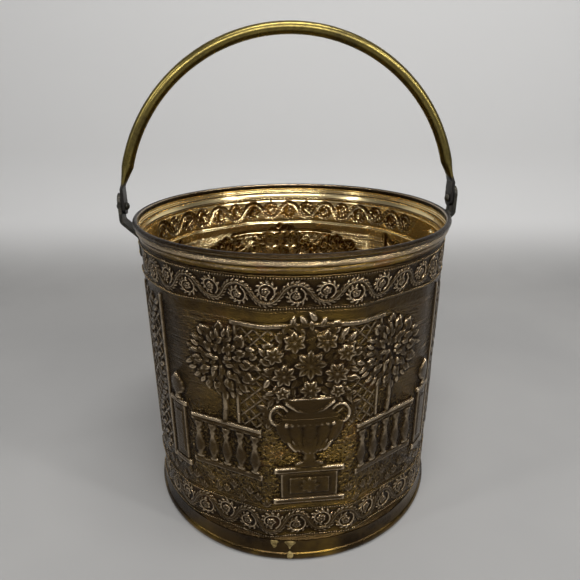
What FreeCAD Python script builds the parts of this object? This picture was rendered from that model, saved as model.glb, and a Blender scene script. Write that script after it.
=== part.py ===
import FreeCAD, Part
import os
import re
import Sketcher
from FreeCAD import Placement, Rotation, Vector

# An embossed brass bucket with a swinging bail. The bucket stands on z = 0 with its axis on Z.
# The bail swings about X, so the lugs are at the left (-X) and right (+X), and the front faces -Y.

SIZES = {
    # Stamped wall
    "body_height": 273.0,
    "wall_radius": 135.0,
    "sheet_gauge": 0.8,
    "half_turn": 180.0,
    "full_turn": 360.0,
    # Raised string lines that carry the rows of pearls, above the skirt and below the ovolo
    "string_radius": 1.1,
    "string_gap": 2.6,
    "lower_band_height": 28.2,
    "upper_band_height": 23.7,
    # Lower scroll border between its string lines, taken as a plain raised band
    "band_rise": 0.7,
    "band_inset": 1.2,
    "band_slope": 0.6,
    # Flats that the sheet keeps between upright creases, three on each half
    "flat_angle": 30.0,
    # Main forms of the picture: how proud they are, and their sizes as shares of the wall's radius
    "emboss_rise": 1.5,
    "flower_rise": 2.4,
    "bloom_share": 0.23,
    "crown_share": 0.215,
    "trunk_share": 0.022,
    "rail_share": 0.244,
    "plinth_share": 0.222,
    "post_share": 0.098,
    "post_width_share": 0.027,
    "pier_angle": 50.0,
    "pier_width_angle": 7.6,
    "cap_width_angle": 9.3,
    "cap_rise": 2.2,
    "finial_width_angle": 6.5,
    "trellis_angle": 64.5,
    "trellis_width_angle": 17.4,
    "trellis_rise": 0.9,
    # Heights in the picture, as shares of the height between its two string lines
    "bloom_level": 0.765,
    "crown_level": 0.742,
    "rail_foot": 0.162,
    "rail_head": 0.441,
    "rail_depth": 0.036,
    "pier_foot": 0.118,
    "pier_head": 0.45,
    "cap_head": 0.48,
    "finial_head": 0.597,
    "trellis_foot": 0.107,
    "trellis_head": 0.975,
    "frame_foot": 0.921,
    "frame_head": 0.943,
    "plinth_foot": 0.034,
    "plinth_cap_head": 0.240,
    "plinth_cap_depth": 0.033,
    # Mouldings below the rim, from the neck down to the ovolo
    "neck_drop": 4.6,
    "neck_step": 1.0,
    "bulge_radius": 2.5,
    "groove_rise": 0.5,
    "ovolo_rise": 5.3,
    "ovolo_step": 1.8,
    # Rolled rim and the wire in it
    "rim_wire_radius": 1.4,
    "wire_clearance": 0.15,
    "curl_end_angle": 75.0,
    # Foot ring
    "ledge_gauge": 1.2,
    "ledge_reach": 8.0,
    "skirt_gauge": 0.6,
    "skirt_height": 19.0,
    "skirt_flare": 1.5,
    "foot_bead_height": 7.4,
    "foot_bead_proud": 1.7,
    # Bottom plate
    "bottom_gauge": 0.8,
    "bottom_corner": 3.0,
    "bottom_flange": 9.0,
    # Seam straps, from just above the bottom plate to just below the upper string line
    "strap_gauge": 0.8,
    "strap_angle": 16.0,
    "strap_gap": 0.3,
    # Lugs, from the pad on the wall up to the rounded top
    "lug_gauge": 2.8,
    "lug_width": 16.0,
    "lug_string_gap": 0.7,
    "lug_pad_height": 20.0,
    "lug_bend_rise": 14.1,
    "lug_offset": 14.1,
    "lug_bend_radius": 3.0,
    "lug_top_reach": 11.5,
    "lug_corner_share": 0.46,
    # Rivets that hold the lugs
    "lug_rivet_radius": 1.9,
    "lug_rivet_margin": 4.4,
    "lug_rivet_pitch": 8.8,
    "lug_rivet_head": 3.5,
    "lug_rivet_dome": 2.2,
    # Bail
    "bail_overhang": 11.5,
    "bail_drop": 5.5,
    "bail_end_angle": 15.5,
    "tube_radius": 5.0,
    "tube_gauge": 1.0,
    "tab_gauge": 2.6,
    "tab_width": 14.0,
    "tab_reach": 15.5,
    # Pivots
    "pivot_rise": 6.5,
    "pivot_radius": 2.5,
    "pivot_head": 3.8,
    "pivot_dome": 2.6,
    # Clearances, the overrun of cuts and the closeness that counts as the same place
    "solder_film": 0.1,
    "rivet_fit": 0.05,
    "pivot_fit": 0.08,
    "side_play": 0.3,
    "overrun": 5.0,
    "same_place": 0.001,
}

# Sizes that follow from the ones above.
RULES = {
    "wall_inside": "wall_radius - sheet_gauge",
    "neck_outside": "wall_radius + neck_step",
    "neck_inside": "neck_outside - sheet_gauge",
    "bulge_head": "body_height - neck_drop",
    "bulge_middle": "bulge_head - bulge_radius",
    "bulge_foot": "bulge_middle - bulge_radius",
    "bulge_bore": "bulge_radius - sheet_gauge",
    "ovolo_head": "bulge_foot - groove_rise",
    "ovolo_foot": "ovolo_head - ovolo_rise",
    "upper_band_head": "ovolo_foot - string_gap",
    "upper_band_foot": "upper_band_head - upper_band_height",
    "lower_band_foot": "skirt_height + string_gap",
    "lower_band_head": "lower_band_foot + lower_band_height",
    "picture_foot": "lower_band_head + string_radius",
    "picture_height": "upper_band_foot - string_radius - picture_foot",
    "flat_reach": "wall_radius * cos(flat_angle / 2) - sheet_gauge / 2",
    "flat_half": "wall_radius * sin(flat_angle / 2)",
    "post_middle": "post_share * wall_radius",
    "post_half": "post_width_share * wall_radius / 2",
    "curl_bore": "rim_wire_radius + wire_clearance",
    "curl_radius": "curl_bore + sheet_gauge",
    "curl_centre": "neck_outside + curl_bore",
    "curl_height": "body_height - curl_radius",
    "plate_outside": "wall_inside - solder_film",
    "plate_inside": "plate_outside - bottom_gauge",
    "plate_top": "ledge_gauge + bottom_gauge",
    "corner_height": "ledge_gauge + bottom_corner",
    "corner_inside": "plate_outside - bottom_corner",
    "flange_top": "ledge_gauge + bottom_flange",
    "ledge_inside": "wall_inside - ledge_reach",
    "skirt_inside": "wall_radius + solder_film",
    "skirt_outside": "skirt_inside + skirt_gauge",
    "bead_seat": "skirt_outside + skirt_flare",
    "bead_curve": "(foot_bead_proud + foot_bead_height ^ 2 / (4 * foot_bead_proud)) / 2",
    "strap_outside": "wall_inside - solder_film",
    "strap_inside": "strap_outside - strap_gauge",
    "strap_foot": "flange_top + strap_gap",
    "strap_top": "upper_band_head - string_radius - strap_gap",
    "pad_inside": "wall_radius + solder_film",
    "pad_outside": "pad_inside + lug_gauge",
    "arm_inside": "pad_inside + lug_offset",
    "arm_outside": "arm_inside + lug_gauge",
    "lug_lower_bend": "upper_band_head - string_radius - lug_string_gap",
    "lug_upper_bend": "lug_lower_bend + lug_bend_rise",
    "lug_foot": "lug_lower_bend - lug_pad_height",
    "lug_top": "pivot_height + lug_top_reach",
    "lug_mitre": "lug_gauge * tan(atan(lug_offset / lug_bend_rise) / 2)",
    "lug_rivet_low": "lug_foot + lug_rivet_margin",
    "pivot_height": "body_height + pivot_rise",
    "tab_outside": "arm_inside - side_play",
    "tab_inside": "tab_outside - tab_gauge",
    "tab_top": "pivot_height + tab_reach",
    "bail_radius": "wall_radius + bail_overhang",
    "bail_centre": "pivot_height - bail_drop",
    "bail_end_reach": "bail_radius * cos(bail_end_angle)",
    "bail_end_height": "bail_centre + bail_radius * sin(bail_end_angle)",
}


def in_sheet(text):
    """Write the size names in a formula as references to cells of the sheet."""
    def cell(match):
        word = match.group(0)
        if word in RULES:
            return "(" + in_sheet(RULES[word]) + ")"
        return "Sizes." + word if word in SIZES else word
    return re.sub("[a-z_]+", cell, text)


def bind(thing, size, text):
    """Tie one size of an object to a formula on the sheet."""
    thing.setExpression(size, in_sheet(text))


def measure(text):
    """The present value of a formula on the sheet."""
    answer = sheet.evalExpression(in_sheet(text))
    return float(getattr(answer, "Value", answer))


doc = FreeCAD.newDocument("Bucket")
sheet = doc.addObject("Spreadsheet::Sheet", "Sizes")
for row, (alias, size) in enumerate(SIZES.items(), start=1):
    sheet.set(f"A{row}", alias)
    sheet.set(f"B{row}", str(size))
    sheet.setAlias(f"B{row}", alias)
doc.recompute()


# Sketch helpers

def new_body(label, turn=0.0):
    """A body for one piece, turned about Z to its side of the bucket."""
    body = doc.addObject("PartDesign::Body", label)
    body.Label = label
    body.Placement = Placement(Vector(), Rotation(Vector(0, 0, 1), turn))
    return body


def origin_plane(body, role):
    """One of the body's own origin planes."""
    return next(plane for plane in body.Origin.OriginFeatures if plane.Role == role)


def new_sketch(body, name, role):
    """A sketch on one of the body's origin planes."""
    sketch = body.newObject("Sketcher::SketchObject", name)
    sketch.AttachmentSupport = [(origin_plane(body, role), "")]
    sketch.MapMode = "FlatFace"
    return sketch


def line_to(x, y):
    """The next corner of an outline, reached by a straight line."""
    return {"x": x, "y": y}


def arc_to(x, y, sense, centre_x=None, centre_y=None):
    """The next corner, reached by an arc that runs left or right about a centre."""
    return {"x": x, "y": y, "sense": sense, "centre_x": centre_x, "centre_y": centre_y}


def pin_point(sketch, curve, point, x=None, y=None):
    """Hold a point of the sketch at the given formulas, measured from the origin."""
    for kind, text in (("DistanceX", x), ("DistanceY", y)):
        if text is not None:
            number = sketch.addConstraint(Sketcher.Constraint(kind, -1, 1, curve, point, measure(text)))
            name = f"{kind}_{curve}_{point}"
            sketch.renameConstraint(number, name)
            bind(sketch, f"Constraints.{name}", text)


def arc_between(start, end, step):
    """The arc from start to end about the centre that the step names."""
    if step["centre_x"] is not None:
        x = measure(step["centre_x"])
        span = (x - end.x) ** 2 - (x - start.x) ** 2
        y = (end.y ** 2 - start.y ** 2 + span) / (end.y - start.y) / 2
    else:
        y = measure(step["centre_y"])
        span = (y - end.y) ** 2 - (y - start.y) ** 2
        x = (end.x ** 2 - start.x ** 2 + span) / (end.x - start.x) / 2
    centre = Vector(x, y, 0)
    first, last = (start, end) if step["sense"] == "left" else (end, start)
    angles = [Vector(1, 0, 0).getAngle(point - centre) * (-1 if point.y < y else 1) for point in (first, last)]
    circle = Part.Circle(centre, Vector(0, 0, 1), (start - centre).Length)
    return Part.ArcOfCircle(circle, *angles)


def draw_outline(sketch, steps):
    """Draw a closed outline whose corners and arc centres are bound to the sheet."""
    corners = [Vector(measure(step["x"]), measure(step["y"]), 0) for step in steps]
    ends = []
    for index, step in enumerate(steps):
        start, end = corners[index - 1], corners[index]
        if "sense" in step:
            curve = sketch.addGeometry(arc_between(start, end, step), False)
            ends.append((curve, 1, 2) if step["sense"] == "left" else (curve, 2, 1))
        else:
            ends.append((sketch.addGeometry(Part.LineSegment(start, end), False), 1, 2))
    for index, step in enumerate(steps):
        curve, head, tail = ends[index]
        before = ends[index - 1]
        sketch.addConstraint(Sketcher.Constraint("Coincident", before[0], before[2], curve, head))
        pin_point(sketch, curve, tail, step["x"], step["y"])
        if "sense" in step:
            pin_point(sketch, curve, 3, step["centre_x"], step["centre_y"])


def draw_circle(sketch, x, y, radius):
    """Draw a circle bound to the sheet."""
    middle = Vector(measure(x), measure(y), 0)
    curve = sketch.addGeometry(Part.Circle(middle, Vector(0, 0, 1), measure(radius)), False)
    pin_point(sketch, curve, 3, x, y)
    number = sketch.addConstraint(Sketcher.Constraint("Radius", curve, measure(radius)))
    sketch.renameConstraint(number, f"Radius_{curve}")
    bind(sketch, f"Constraints.Radius_{curve}", radius)


def draw_axis(sketch, height, reach):
    """Draw a level construction line that a profile is revolved about."""
    ends = [Vector(0, measure(height), 0), Vector(measure(reach), measure(height), 0)]
    curve = sketch.addGeometry(Part.LineSegment(*ends), True)
    pin_point(sketch, curve, 1, "0", height)
    pin_point(sketch, curve, 2, reach, height)


def revolve(body, sketch, name, angle, axis="V_Axis", middle=False, reverse=False):
    """Revolve a sketch about one of its axes."""
    turned = body.newObject("PartDesign::Revolution", name)
    turned.Profile = sketch
    turned.ReferenceAxis = (sketch, [axis])
    turned.Midplane = middle
    turned.Reversed = reverse
    bind(turned, "Angle", angle)
    doc.recompute()
    return turned


def drill(body, sketch, name):
    """Cut a sketch's circles right through the body, to both sides of the sketch."""
    solid_before = body.Shape.Volume
    cut = body.newObject("PartDesign::Pocket", name)
    cut.Profile = sketch
    cut.SideType = "Symmetric"
    cut.Type = "Length"
    bind(cut, "Length", "2 * (arm_outside + overrun)")
    doc.recompute()
    if not body.Shape.Volume < solid_before:
        raise RuntimeError(f"{name} cuts nothing")
    return cut


LUG_RIVET_HEIGHTS = ("lug_rivet_low", "lug_rivet_low + lug_rivet_pitch")


def drill_for_lug_rivets(body):
    """The two holes that the lug's rivets pass through."""
    sketch = new_sketch(body, "rivet_holes", "YZ_Plane")
    for height in LUG_RIVET_HEIGHTS:
        draw_circle(sketch, "0", height, "lug_rivet_radius + rivet_fit")
    drill(body, sketch, "rivet_cut")


# Wall halves: one stamped sheet each, with string lines, mouldings and a rim rolled over the wire

CREASES = ("-half_turn / 2", "-1.5 * flat_angle", "-flat_angle / 2",
           "flat_angle / 2", "1.5 * flat_angle", "half_turn / 2")
URN_LINE = ((0.178, 0.034), (0.178, 0.240), (0.096, 0.240), (0.045, 0.290), (0.163, 0.380),
            (0.200, 0.458), (0.200, 0.477), (0.126, 0.547), (0.170, 0.592))
BALUSTER_GAPS = 5
FLOWERS = ((0.0, 0.753, 0.070), (0.148, 0.709, 0.053), (0.089, 0.859, 0.050), (0.2, 0.804, 0.042), (0.0, 0.636, 0.047))


def foot_outline():
    """The section of the sheet inside the skirt of the foot ring."""
    return [
        line_to("wall_inside", "ledge_gauge"),
        line_to("wall_radius", "ledge_gauge"),
        line_to("wall_radius", "skirt_height"),
        line_to("wall_inside", "skirt_height"),
    ]


def rim_outline():
    """The section above the border: up the outside, round the curl and down the inside."""
    foot = "upper_band_head - string_radius"
    curl_end = "{0} * cos(curl_end_angle) + curl_centre", "curl_height - {0} * sin(curl_end_angle)"
    return [
        line_to("wall_inside", foot),
        line_to("wall_radius", foot),
        arc_to("wall_radius", "upper_band_head + string_radius", "left", centre_x="wall_radius"),
        line_to("wall_radius", "ovolo_foot"),
        arc_to("wall_radius + ovolo_step", "ovolo_head", "left", centre_y="ovolo_head"),
        line_to("neck_outside", "bulge_foot"),
        arc_to("neck_outside", "bulge_head", "left", centre_x="neck_outside"),
        line_to("neck_outside", "curl_height"),
        arc_to(*(text.format("curl_bore") for text in curl_end), "right", centre_y="curl_height"),
        line_to(*(text.format("curl_radius") for text in curl_end)),
        arc_to("neck_inside", "curl_height", "left", centre_y="curl_height"),
        line_to("neck_inside", "bulge_head"),
        line_to("neck_outside", "bulge_middle + bulge_bore"),
        arc_to("neck_outside", "bulge_middle - bulge_bore", "right", centre_x="neck_outside"),
        line_to("neck_inside", "bulge_foot"),
        line_to("wall_inside + ovolo_step", "ovolo_head - sheet_gauge"),
        arc_to("wall_inside", "ovolo_foot", "right", centre_y="ovolo_head"),
    ]


def half_ring(outside, flat):
    """One level of the sheet: round at the sides and, if flat, straight between the creases."""
    def corner(radius, angle):
        return f"({radius}) * sin({angle})", f"0 - ({radius}) * cos({angle})"

    def run(radius, angles, sense):
        steps = []
        for number, angle in enumerate(angles):
            side = number in (0, len(angles) - 1)
            place = corner(radius, angle)
            steps.append(line_to(*place) if flat and not side else arc_to(*place, sense, centre_y="0"))
        return steps

    steps = [line_to(*corner(outside, CREASES[0]))] + run(outside, CREASES[1:], "left")
    return steps + [line_to(*corner("wall_inside", CREASES[-1]))] + run("wall_inside", CREASES[-2::-1], "right")


def press_flats(body):
    """The sheet between the outer string lines, ruled from level to level."""
    def string(middle):
        return [(f"{middle} - string_radius", "0", True), (middle, "string_radius", True),
                (f"{middle} + string_radius", "0", True)]

    band_foot = "lower_band_foot + string_radius + band_inset"
    band_head = "lower_band_head - string_radius - band_inset"
    levels = [("skirt_height", "0", False)]
    levels += string("lower_band_foot")
    levels += [(band_foot, "0", True), (f"{band_foot} + band_slope", "band_rise", True),
               (f"{band_head} - band_slope", "band_rise", True), (band_head, "0", True)]
    levels += string("lower_band_head") + string("upper_band_foot")
    levels.append(("upper_band_head - string_radius", "0", False))
    rings = []
    for number, (height, proud, flat) in enumerate(levels):
        ring = new_sketch(body, f"level_{number}", "XY_Plane")
        bind(ring, "AttachmentOffset.Base.z", height)
        draw_outline(ring, half_ring(f"wall_radius + {proud}", flat))
        rings.append(ring)
    sheet_loft = body.newObject("PartDesign::AdditiveLoft", "flats")
    sheet_loft.Profile = rings[0]
    sheet_loft.Sections = rings[1:]
    sheet_loft.Ruled = True
    doc.recompute()


def sketch_on_flat(body, name, way):
    """A sketch on the middle (0), left (-1) or right (1) flat, with its origin at the foot of the axis."""
    sketch = new_sketch(body, name, "XZ_Plane")
    sketch.AttachmentOffset = Placement(Vector(), Rotation(Vector(0, way or 1, 0), abs(way) * measure("flat_angle")))
    if way:
        bind(sketch, "AttachmentOffset.Rotation.Angle", "flat_angle")
    bind(sketch, "AttachmentOffset.Base.x", f"flat_reach * sin({way} * flat_angle)")
    bind(sketch, "AttachmentOffset.Base.z", f"flat_reach * cos({way} * flat_angle)")
    return sketch


def emboss(body, sketch, name, rise="emboss_rise"):
    """Raise a sketched form on a flat."""
    form = body.newObject("PartDesign::Pad", name)
    form.Profile = sketch
    bind(form, "Length", f"{rise} + sheet_gauge / 2")


def picture_level(share):
    return f"picture_foot + picture_height * ({share})"


def draw_block(sketch, left, right, foot, head):
    draw_outline(sketch, [line_to(left, foot), line_to(right, foot), line_to(right, head), line_to(left, head)])


def emboss_urn(body):
    urn = sketch_on_flat(body, "urn_outline", 0)
    side = [(f"{half} * wall_radius", picture_level(level)) for half, level in URN_LINE]
    other = [(f"0 - {half}", level) for half, level in reversed(side)]
    draw_outline(urn, [line_to(*place) for place in side + other])
    emboss(body, urn, "urn")
    caps = sketch_on_flat(body, "plinth_cap_outlines", 0)
    half = "plinth_share * wall_radius"
    for foot in ("plinth_foot", "plinth_cap_head - plinth_cap_depth"):
        draw_block(caps, f"0 - {half}", half, picture_level(foot), picture_level(f"{foot} + plinth_cap_depth"))
    emboss(body, caps, "plinth_caps")
    bloom = sketch_on_flat(body, "bloom_outline", 0)
    draw_circle(bloom, "0", picture_level("bloom_level"), "bloom_share * wall_radius")
    emboss(body, bloom, "bloom")
    flowers = sketch_on_flat(body, "flower_outlines", 0)
    for aside, level, radius in FLOWERS:
        for way in (-1, 1) if aside else (1,):
            draw_circle(flowers, f"{way * aside} * wall_radius", picture_level(level), f"{radius} * wall_radius")
    emboss(body, flowers, "flowers", "flower_rise")
    frame = sketch_on_flat(body, "frame_outline", 0)
    draw_block(frame, "0 - flat_half", "flat_half", picture_level("frame_foot"), picture_level("frame_head"))
    emboss(body, frame, "frame")


def emboss_garden(body, label, way):
    """A tree over a balustrade on an outer flat."""
    trunk = sketch_on_flat(body, f"{label}_trunk_outline", way)
    half = "trunk_share * wall_radius"
    draw_block(trunk, f"0 - {half}", half, picture_level("rail_head - rail_depth / 2"), picture_level("crown_level"))
    emboss(body, trunk, f"{label}_trunk")
    crown = sketch_on_flat(body, f"{label}_crown_outline", way)
    draw_circle(crown, "0", picture_level("crown_level"), "crown_share * wall_radius")
    emboss(body, crown, f"{label}_crown")
    rail = sketch_on_flat(body, f"{label}_rail_outline", way)
    half = "rail_share * wall_radius"
    draw_block(rail, f"0 - {half}", half, picture_level("rail_foot"), picture_level("rail_head"))
    for gap in range(BALUSTER_GAPS):
        left, right = (f"{half} * ({2 * (gap + share) / BALUSTER_GAPS - 1})" for share in (0.22, 0.78))
        low, high = picture_level("rail_foot + rail_depth"), picture_level("rail_head - 1.4 * rail_depth")
        draw_block(rail, left, right, low, high)
    emboss(body, rail, f"{label}_rail")
    post = sketch_on_flat(body, f"{label}_post_outline", way)
    sides = sorted((f"{-way} * (post_middle + {turn} * post_half)" for turn in (-1, 1)), key=measure)
    draw_block(post, *sides, picture_level("rail_head"), picture_level("frame_head"))
    emboss(body, post, f"{label}_post")
    frame = sketch_on_flat(body, f"{label}_frame_outline", way)
    sides = sorted((f"{-way} * flat_half", f"{-way} * (post_middle - 2 * post_half)"), key=measure)
    draw_block(frame, *sides, picture_level("frame_foot"), picture_level("frame_head"))
    emboss(body, frame, f"{label}_frame")


def emboss_upright(body, label, way, angle, width, foot, head, rise):
    """An upright block on the round part of the sheet beyond the outer crease."""
    block = new_sketch(body, f"{label}_section", "XZ_Plane")
    turn = f"half_turn / 2 - {way} * {angle}"
    block.AttachmentOffset = Placement(Vector(), Rotation(Vector(0, -1, 0), measure(turn)))
    bind(block, "AttachmentOffset.Rotation.Angle", turn)
    draw_block(block, "wall_radius - sheet_gauge / 2", f"wall_radius + {rise}", picture_level(foot), picture_level(head))
    revolve(body, block, label, width, middle=True)


def emboss_side(body, label, way):
    """A pier with a cap and a finial, and a trellis beside it."""
    emboss_upright(body, f"{label}_pier", way, "pier_angle", "pier_width_angle", "pier_foot", "pier_head", "emboss_rise")
    emboss_upright(body, f"{label}_cap", way, "pier_angle", "cap_width_angle", "pier_head", "cap_head", "cap_rise")
    emboss_upright(body, f"{label}_finial", way, "pier_angle", "finial_width_angle", "cap_head", "finial_head", "emboss_rise")
    emboss_upright(body, f"{label}_trellis", way, "trellis_angle", "trellis_width_angle", "trellis_foot", "trellis_head", "trellis_rise")


def make_wall(label, turn):
    body = new_body(label, turn)
    foot = new_sketch(body, "foot_section", "XZ_Plane")
    draw_outline(foot, foot_outline())
    revolve(body, foot, "foot", "half_turn", reverse=True)
    press_flats(body)
    rim = new_sketch(body, "rim_section", "XZ_Plane")
    draw_outline(rim, rim_outline())
    revolve(body, rim, "rim", "half_turn", reverse=True)
    emboss_urn(body)
    for side, way in (("left", -1), ("right", 1)):
        emboss_garden(body, side, way)
        emboss_side(body, side, way)
    drill_for_lug_rivets(body)
    return body


# Seam straps: plain strips inside that cover the two upright seams

def make_seam_strap(label, turn):
    body = new_body(label, turn)
    section = new_sketch(body, "section", "XZ_Plane")
    draw_outline(section, [
        line_to("strap_inside", "strap_foot"),
        line_to("strap_outside", "strap_foot"),
        line_to("strap_outside", "strap_top"),
        line_to("strap_inside", "strap_top"),
    ])
    revolve(body, section, "strip", "strap_angle", middle=True)
    drill_for_lug_rivets(body)
    return body


# Rim wire: a ring of iron wire inside the curl

def make_rim_wire(label):
    ring = doc.addObject("Part::Torus", label)
    ring.Label = label
    bind(ring, "Radius1", "curl_centre")
    bind(ring, "Radius2", "rim_wire_radius")
    bind(ring, "Placement.Base.z", "curl_height")
    return ring


# Foot ring: the ledge that everything stands on, the half-round bead and the cove above it

def make_foot_ring(label):
    body = new_body(label)
    section = new_sketch(body, "section", "XZ_Plane")
    draw_outline(section, [
        line_to("ledge_inside", "0"),
        line_to("bead_seat", "0"),
        arc_to("bead_seat", "foot_bead_height", "left", centre_x="bead_seat + foot_bead_proud - bead_curve"),
        arc_to("skirt_outside", "skirt_height", "right", centre_y="skirt_height"),
        line_to("skirt_inside", "skirt_height"),
        line_to("skirt_inside", "ledge_gauge"),
        line_to("ledge_inside", "ledge_gauge"),
    ])
    revolve(body, section, "ring", "full_turn")
    return body


# Bottom plate: a disc with an upturned flange, standing on the ledge inside the wall

def make_bottom_plate(label):
    body = new_body(label)
    section = new_sketch(body, "section", "XZ_Plane")
    draw_outline(section, [
        line_to("0", "ledge_gauge"),
        line_to("corner_inside", "ledge_gauge"),
        arc_to("plate_outside", "corner_height", "left", centre_y="corner_height"),
        line_to("plate_outside", "flange_top"),
        line_to("plate_inside", "flange_top"),
        line_to("plate_inside", "corner_height"),
        arc_to("corner_inside", "plate_top", "right", centre_y="corner_height"),
        line_to("0", "plate_top"),
    ])
    revolve(body, section, "dish", "full_turn")
    return body


# Lugs: straps bent out over the mouldings, riveted to the wall and drilled for the pivot

def edges_along(shape, direction, places):
    """Names of the straight edges along a direction whose middles are at the given places."""
    names = []
    closeness = measure("same_place")
    for number, edge in enumerate(shape.Edges, start=1):
        middle = (edge.firstVertex().Point + edge.lastVertex().Point) / 2
        along = (edge.lastVertex().Point - edge.firstVertex().Point).normalize()
        aligned = along.cross(direction).Length < closeness
        if aligned and any((middle - place).Length < closeness for place in places):
            names.append(f"Edge{number}")
    return names


def round_edges(body, base, name, edges, radius):
    """Fillet the named edges of the last feature."""
    fillet = body.newObject("PartDesign::Fillet", name)
    fillet.Base = (base, edges)
    bind(fillet, "Radius", radius)
    doc.recompute()
    return fillet


def make_lug(label, turn):
    body = new_body(label, turn)
    side = new_sketch(body, "side", "XZ_Plane")
    draw_outline(side, [
        line_to("pad_inside", "lug_foot"),
        line_to("pad_outside", "lug_foot"),
        line_to("pad_outside", "lug_lower_bend - lug_mitre"),
        line_to("arm_outside", "lug_upper_bend - lug_mitre"),
        line_to("arm_outside", "lug_top"),
        line_to("arm_inside", "lug_top"),
        line_to("arm_inside", "lug_upper_bend"),
        line_to("pad_inside", "lug_lower_bend"),
    ])
    strap = body.newObject("PartDesign::Pad", "strap")
    strap.Profile = side
    strap.SideType = "Symmetric"
    bind(strap, "Length", "lug_width")
    doc.recompute()
    across = Vector(0, 1, 0)
    through = Vector(1, 0, 0)
    inner_bends = edges_along(strap.Shape, across, [
        Vector(measure("pad_outside"), 0, measure("lug_lower_bend - lug_mitre")),
        Vector(measure("arm_inside"), 0, measure("lug_upper_bend")),
    ])
    bent = round_edges(body, strap, "inner_bends", inner_bends, "lug_bend_radius")
    outer_bends = edges_along(bent.Shape, across, [
        Vector(measure("pad_inside"), 0, measure("lug_lower_bend")),
        Vector(measure("arm_outside"), 0, measure("lug_upper_bend - lug_mitre")),
    ])
    bent = round_edges(body, bent, "outer_bends", outer_bends, "lug_bend_radius + lug_gauge")
    half = measure("lug_width / 2")
    ends = [("pad_inside", "pad_outside", "lug_foot"), ("arm_inside", "arm_outside", "lug_top")]
    corners = edges_along(bent.Shape, through, [
        Vector(measure(f"({inner} + {outer}) / 2"), way * half, measure(height))
        for inner, outer, height in ends for way in (-1, 1)
    ])
    round_edges(body, bent, "round_ends", corners, "lug_width * lug_corner_share")
    drill_for_lug_rivets(body)
    pivot = new_sketch(body, "pivot_hole", "YZ_Plane")
    draw_circle(pivot, "0", "pivot_height", "pivot_radius + rivet_fit")
    drill(body, pivot, "pivot_cut")
    return body


# Rivets: a shank with a dome at each end, revolved about a level axis

def draw_rivet(sketch, height, seats, shank, head, dome):
    """Half the section of a rivet that clamps between two seats."""
    inner, outer = seats
    draw_outline(sketch, [
        arc_to(f"{inner} - {dome}", height, "left", centre_y=height),
        line_to(f"{outer} + {dome}", height),
        arc_to(outer, f"{height} + {head}", "left", centre_y=height),
        line_to(outer, f"{height} + {shank}"),
        line_to(inner, f"{height} + {shank}"),
        line_to(inner, f"{height} + {head}"),
    ])
    draw_axis(sketch, height, f"{outer} + {dome}")


def make_lug_rivets(label, turn):
    body = new_body(label, turn)
    body.AllowCompound = True
    section = new_sketch(body, "section", "XZ_Plane")
    seats = ("strap_inside - solder_film", "pad_outside")
    draw_rivet(section, "lug_rivet_low", seats, "lug_rivet_radius", "lug_rivet_head", "lug_rivet_dome")
    rivet = revolve(body, section, "rivet", "full_turn", axis="Axis0")
    pair = body.newObject("PartDesign::LinearPattern", "pair")
    pair.Originals = [rivet]
    pair.Direction = (section, ["V_Axis"])
    pair.Occurrences = len(LUG_RIVET_HEIGHTS)
    bind(pair, "Length", "lug_rivet_pitch")
    body.Tip = pair
    doc.recompute()
    return body


def make_pivot_rivet(label, turn):
    body = new_body(label, turn)
    section = new_sketch(body, "section", "XZ_Plane")
    seats = ("tab_inside - side_play", "arm_outside")
    draw_rivet(section, "pivot_height", seats, "pivot_radius", "pivot_head", "pivot_dome")
    revolve(body, section, "rivet", "full_turn", axis="Axis0")
    return body


# Bail: a tube bent to an arch, pinched flat at both ends and drilled for the pivots

def make_bail(label):
    body = new_body(label)
    ring = new_sketch(body, "tube_ring", "YZ_Plane")
    crown = "bail_centre + bail_radius"
    draw_circle(ring, "0", crown, "tube_radius")
    draw_circle(ring, "0", crown, "tube_radius - tube_gauge")
    draw_axis(ring, "bail_centre", "tube_radius")
    revolve(body, ring, "arch", "half_turn - 2 * bail_end_angle", axis="Axis0", middle=True)

    round_end = new_sketch(body, "round_end", "XY_Plane")
    tilt = Rotation(Vector(0, -1, 0), measure("bail_end_angle"))
    round_end.AttachmentOffset = Placement(Vector(), tilt)
    bind(round_end, "AttachmentOffset.Base.x", "bail_end_reach")
    bind(round_end, "AttachmentOffset.Base.z", "bail_end_height")
    bind(round_end, "AttachmentOffset.Rotation.Angle", "bail_end_angle")
    draw_circle(round_end, "0", "0", "tube_radius")

    flat_end = new_sketch(body, "flat_end", "XY_Plane")
    bind(flat_end, "AttachmentOffset.Base.x", "(tab_inside + tab_outside) / 2")
    bind(flat_end, "AttachmentOffset.Base.z", "tab_top")
    half_gauge, half_width = "tab_gauge / 2", "tab_width / 2"
    draw_outline(flat_end, [
        line_to(half_gauge, f"-{half_width}"),
        line_to(half_gauge, half_width),
        line_to(f"-{half_gauge}", half_width),
        line_to(f"-{half_gauge}", f"-{half_width}"),
    ])
    pinch = body.newObject("PartDesign::AdditiveLoft", "pinch")
    pinch.Profile = round_end
    pinch.Sections = [flat_end]
    doc.recompute()

    tab_face = new_sketch(body, "tab_face", "YZ_Plane")
    bind(tab_face, "AttachmentOffset.Base.z", "tab_inside")
    draw_outline(tab_face, [
        line_to(f"-{half_width}", "tab_top"),
        line_to(f"-{half_width}", "pivot_height"),
        arc_to(half_width, "pivot_height", "left", centre_y="pivot_height"),
        line_to(half_width, "tab_top"),
    ])
    draw_circle(tab_face, "0", "pivot_height", "pivot_radius + pivot_fit")
    tab = body.newObject("PartDesign::Pad", "tab")
    tab.Profile = tab_face
    bind(tab, "Length", "tab_gauge")
    doc.recompute()

    other_end = body.newObject("PartDesign::Mirrored", "other_end")
    other_end.Originals = [pinch, tab]
    other_end.MirrorPlane = (origin_plane(body, "YZ_Plane"), [""])
    body.Tip = other_end
    doc.recompute()
    return body


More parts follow.
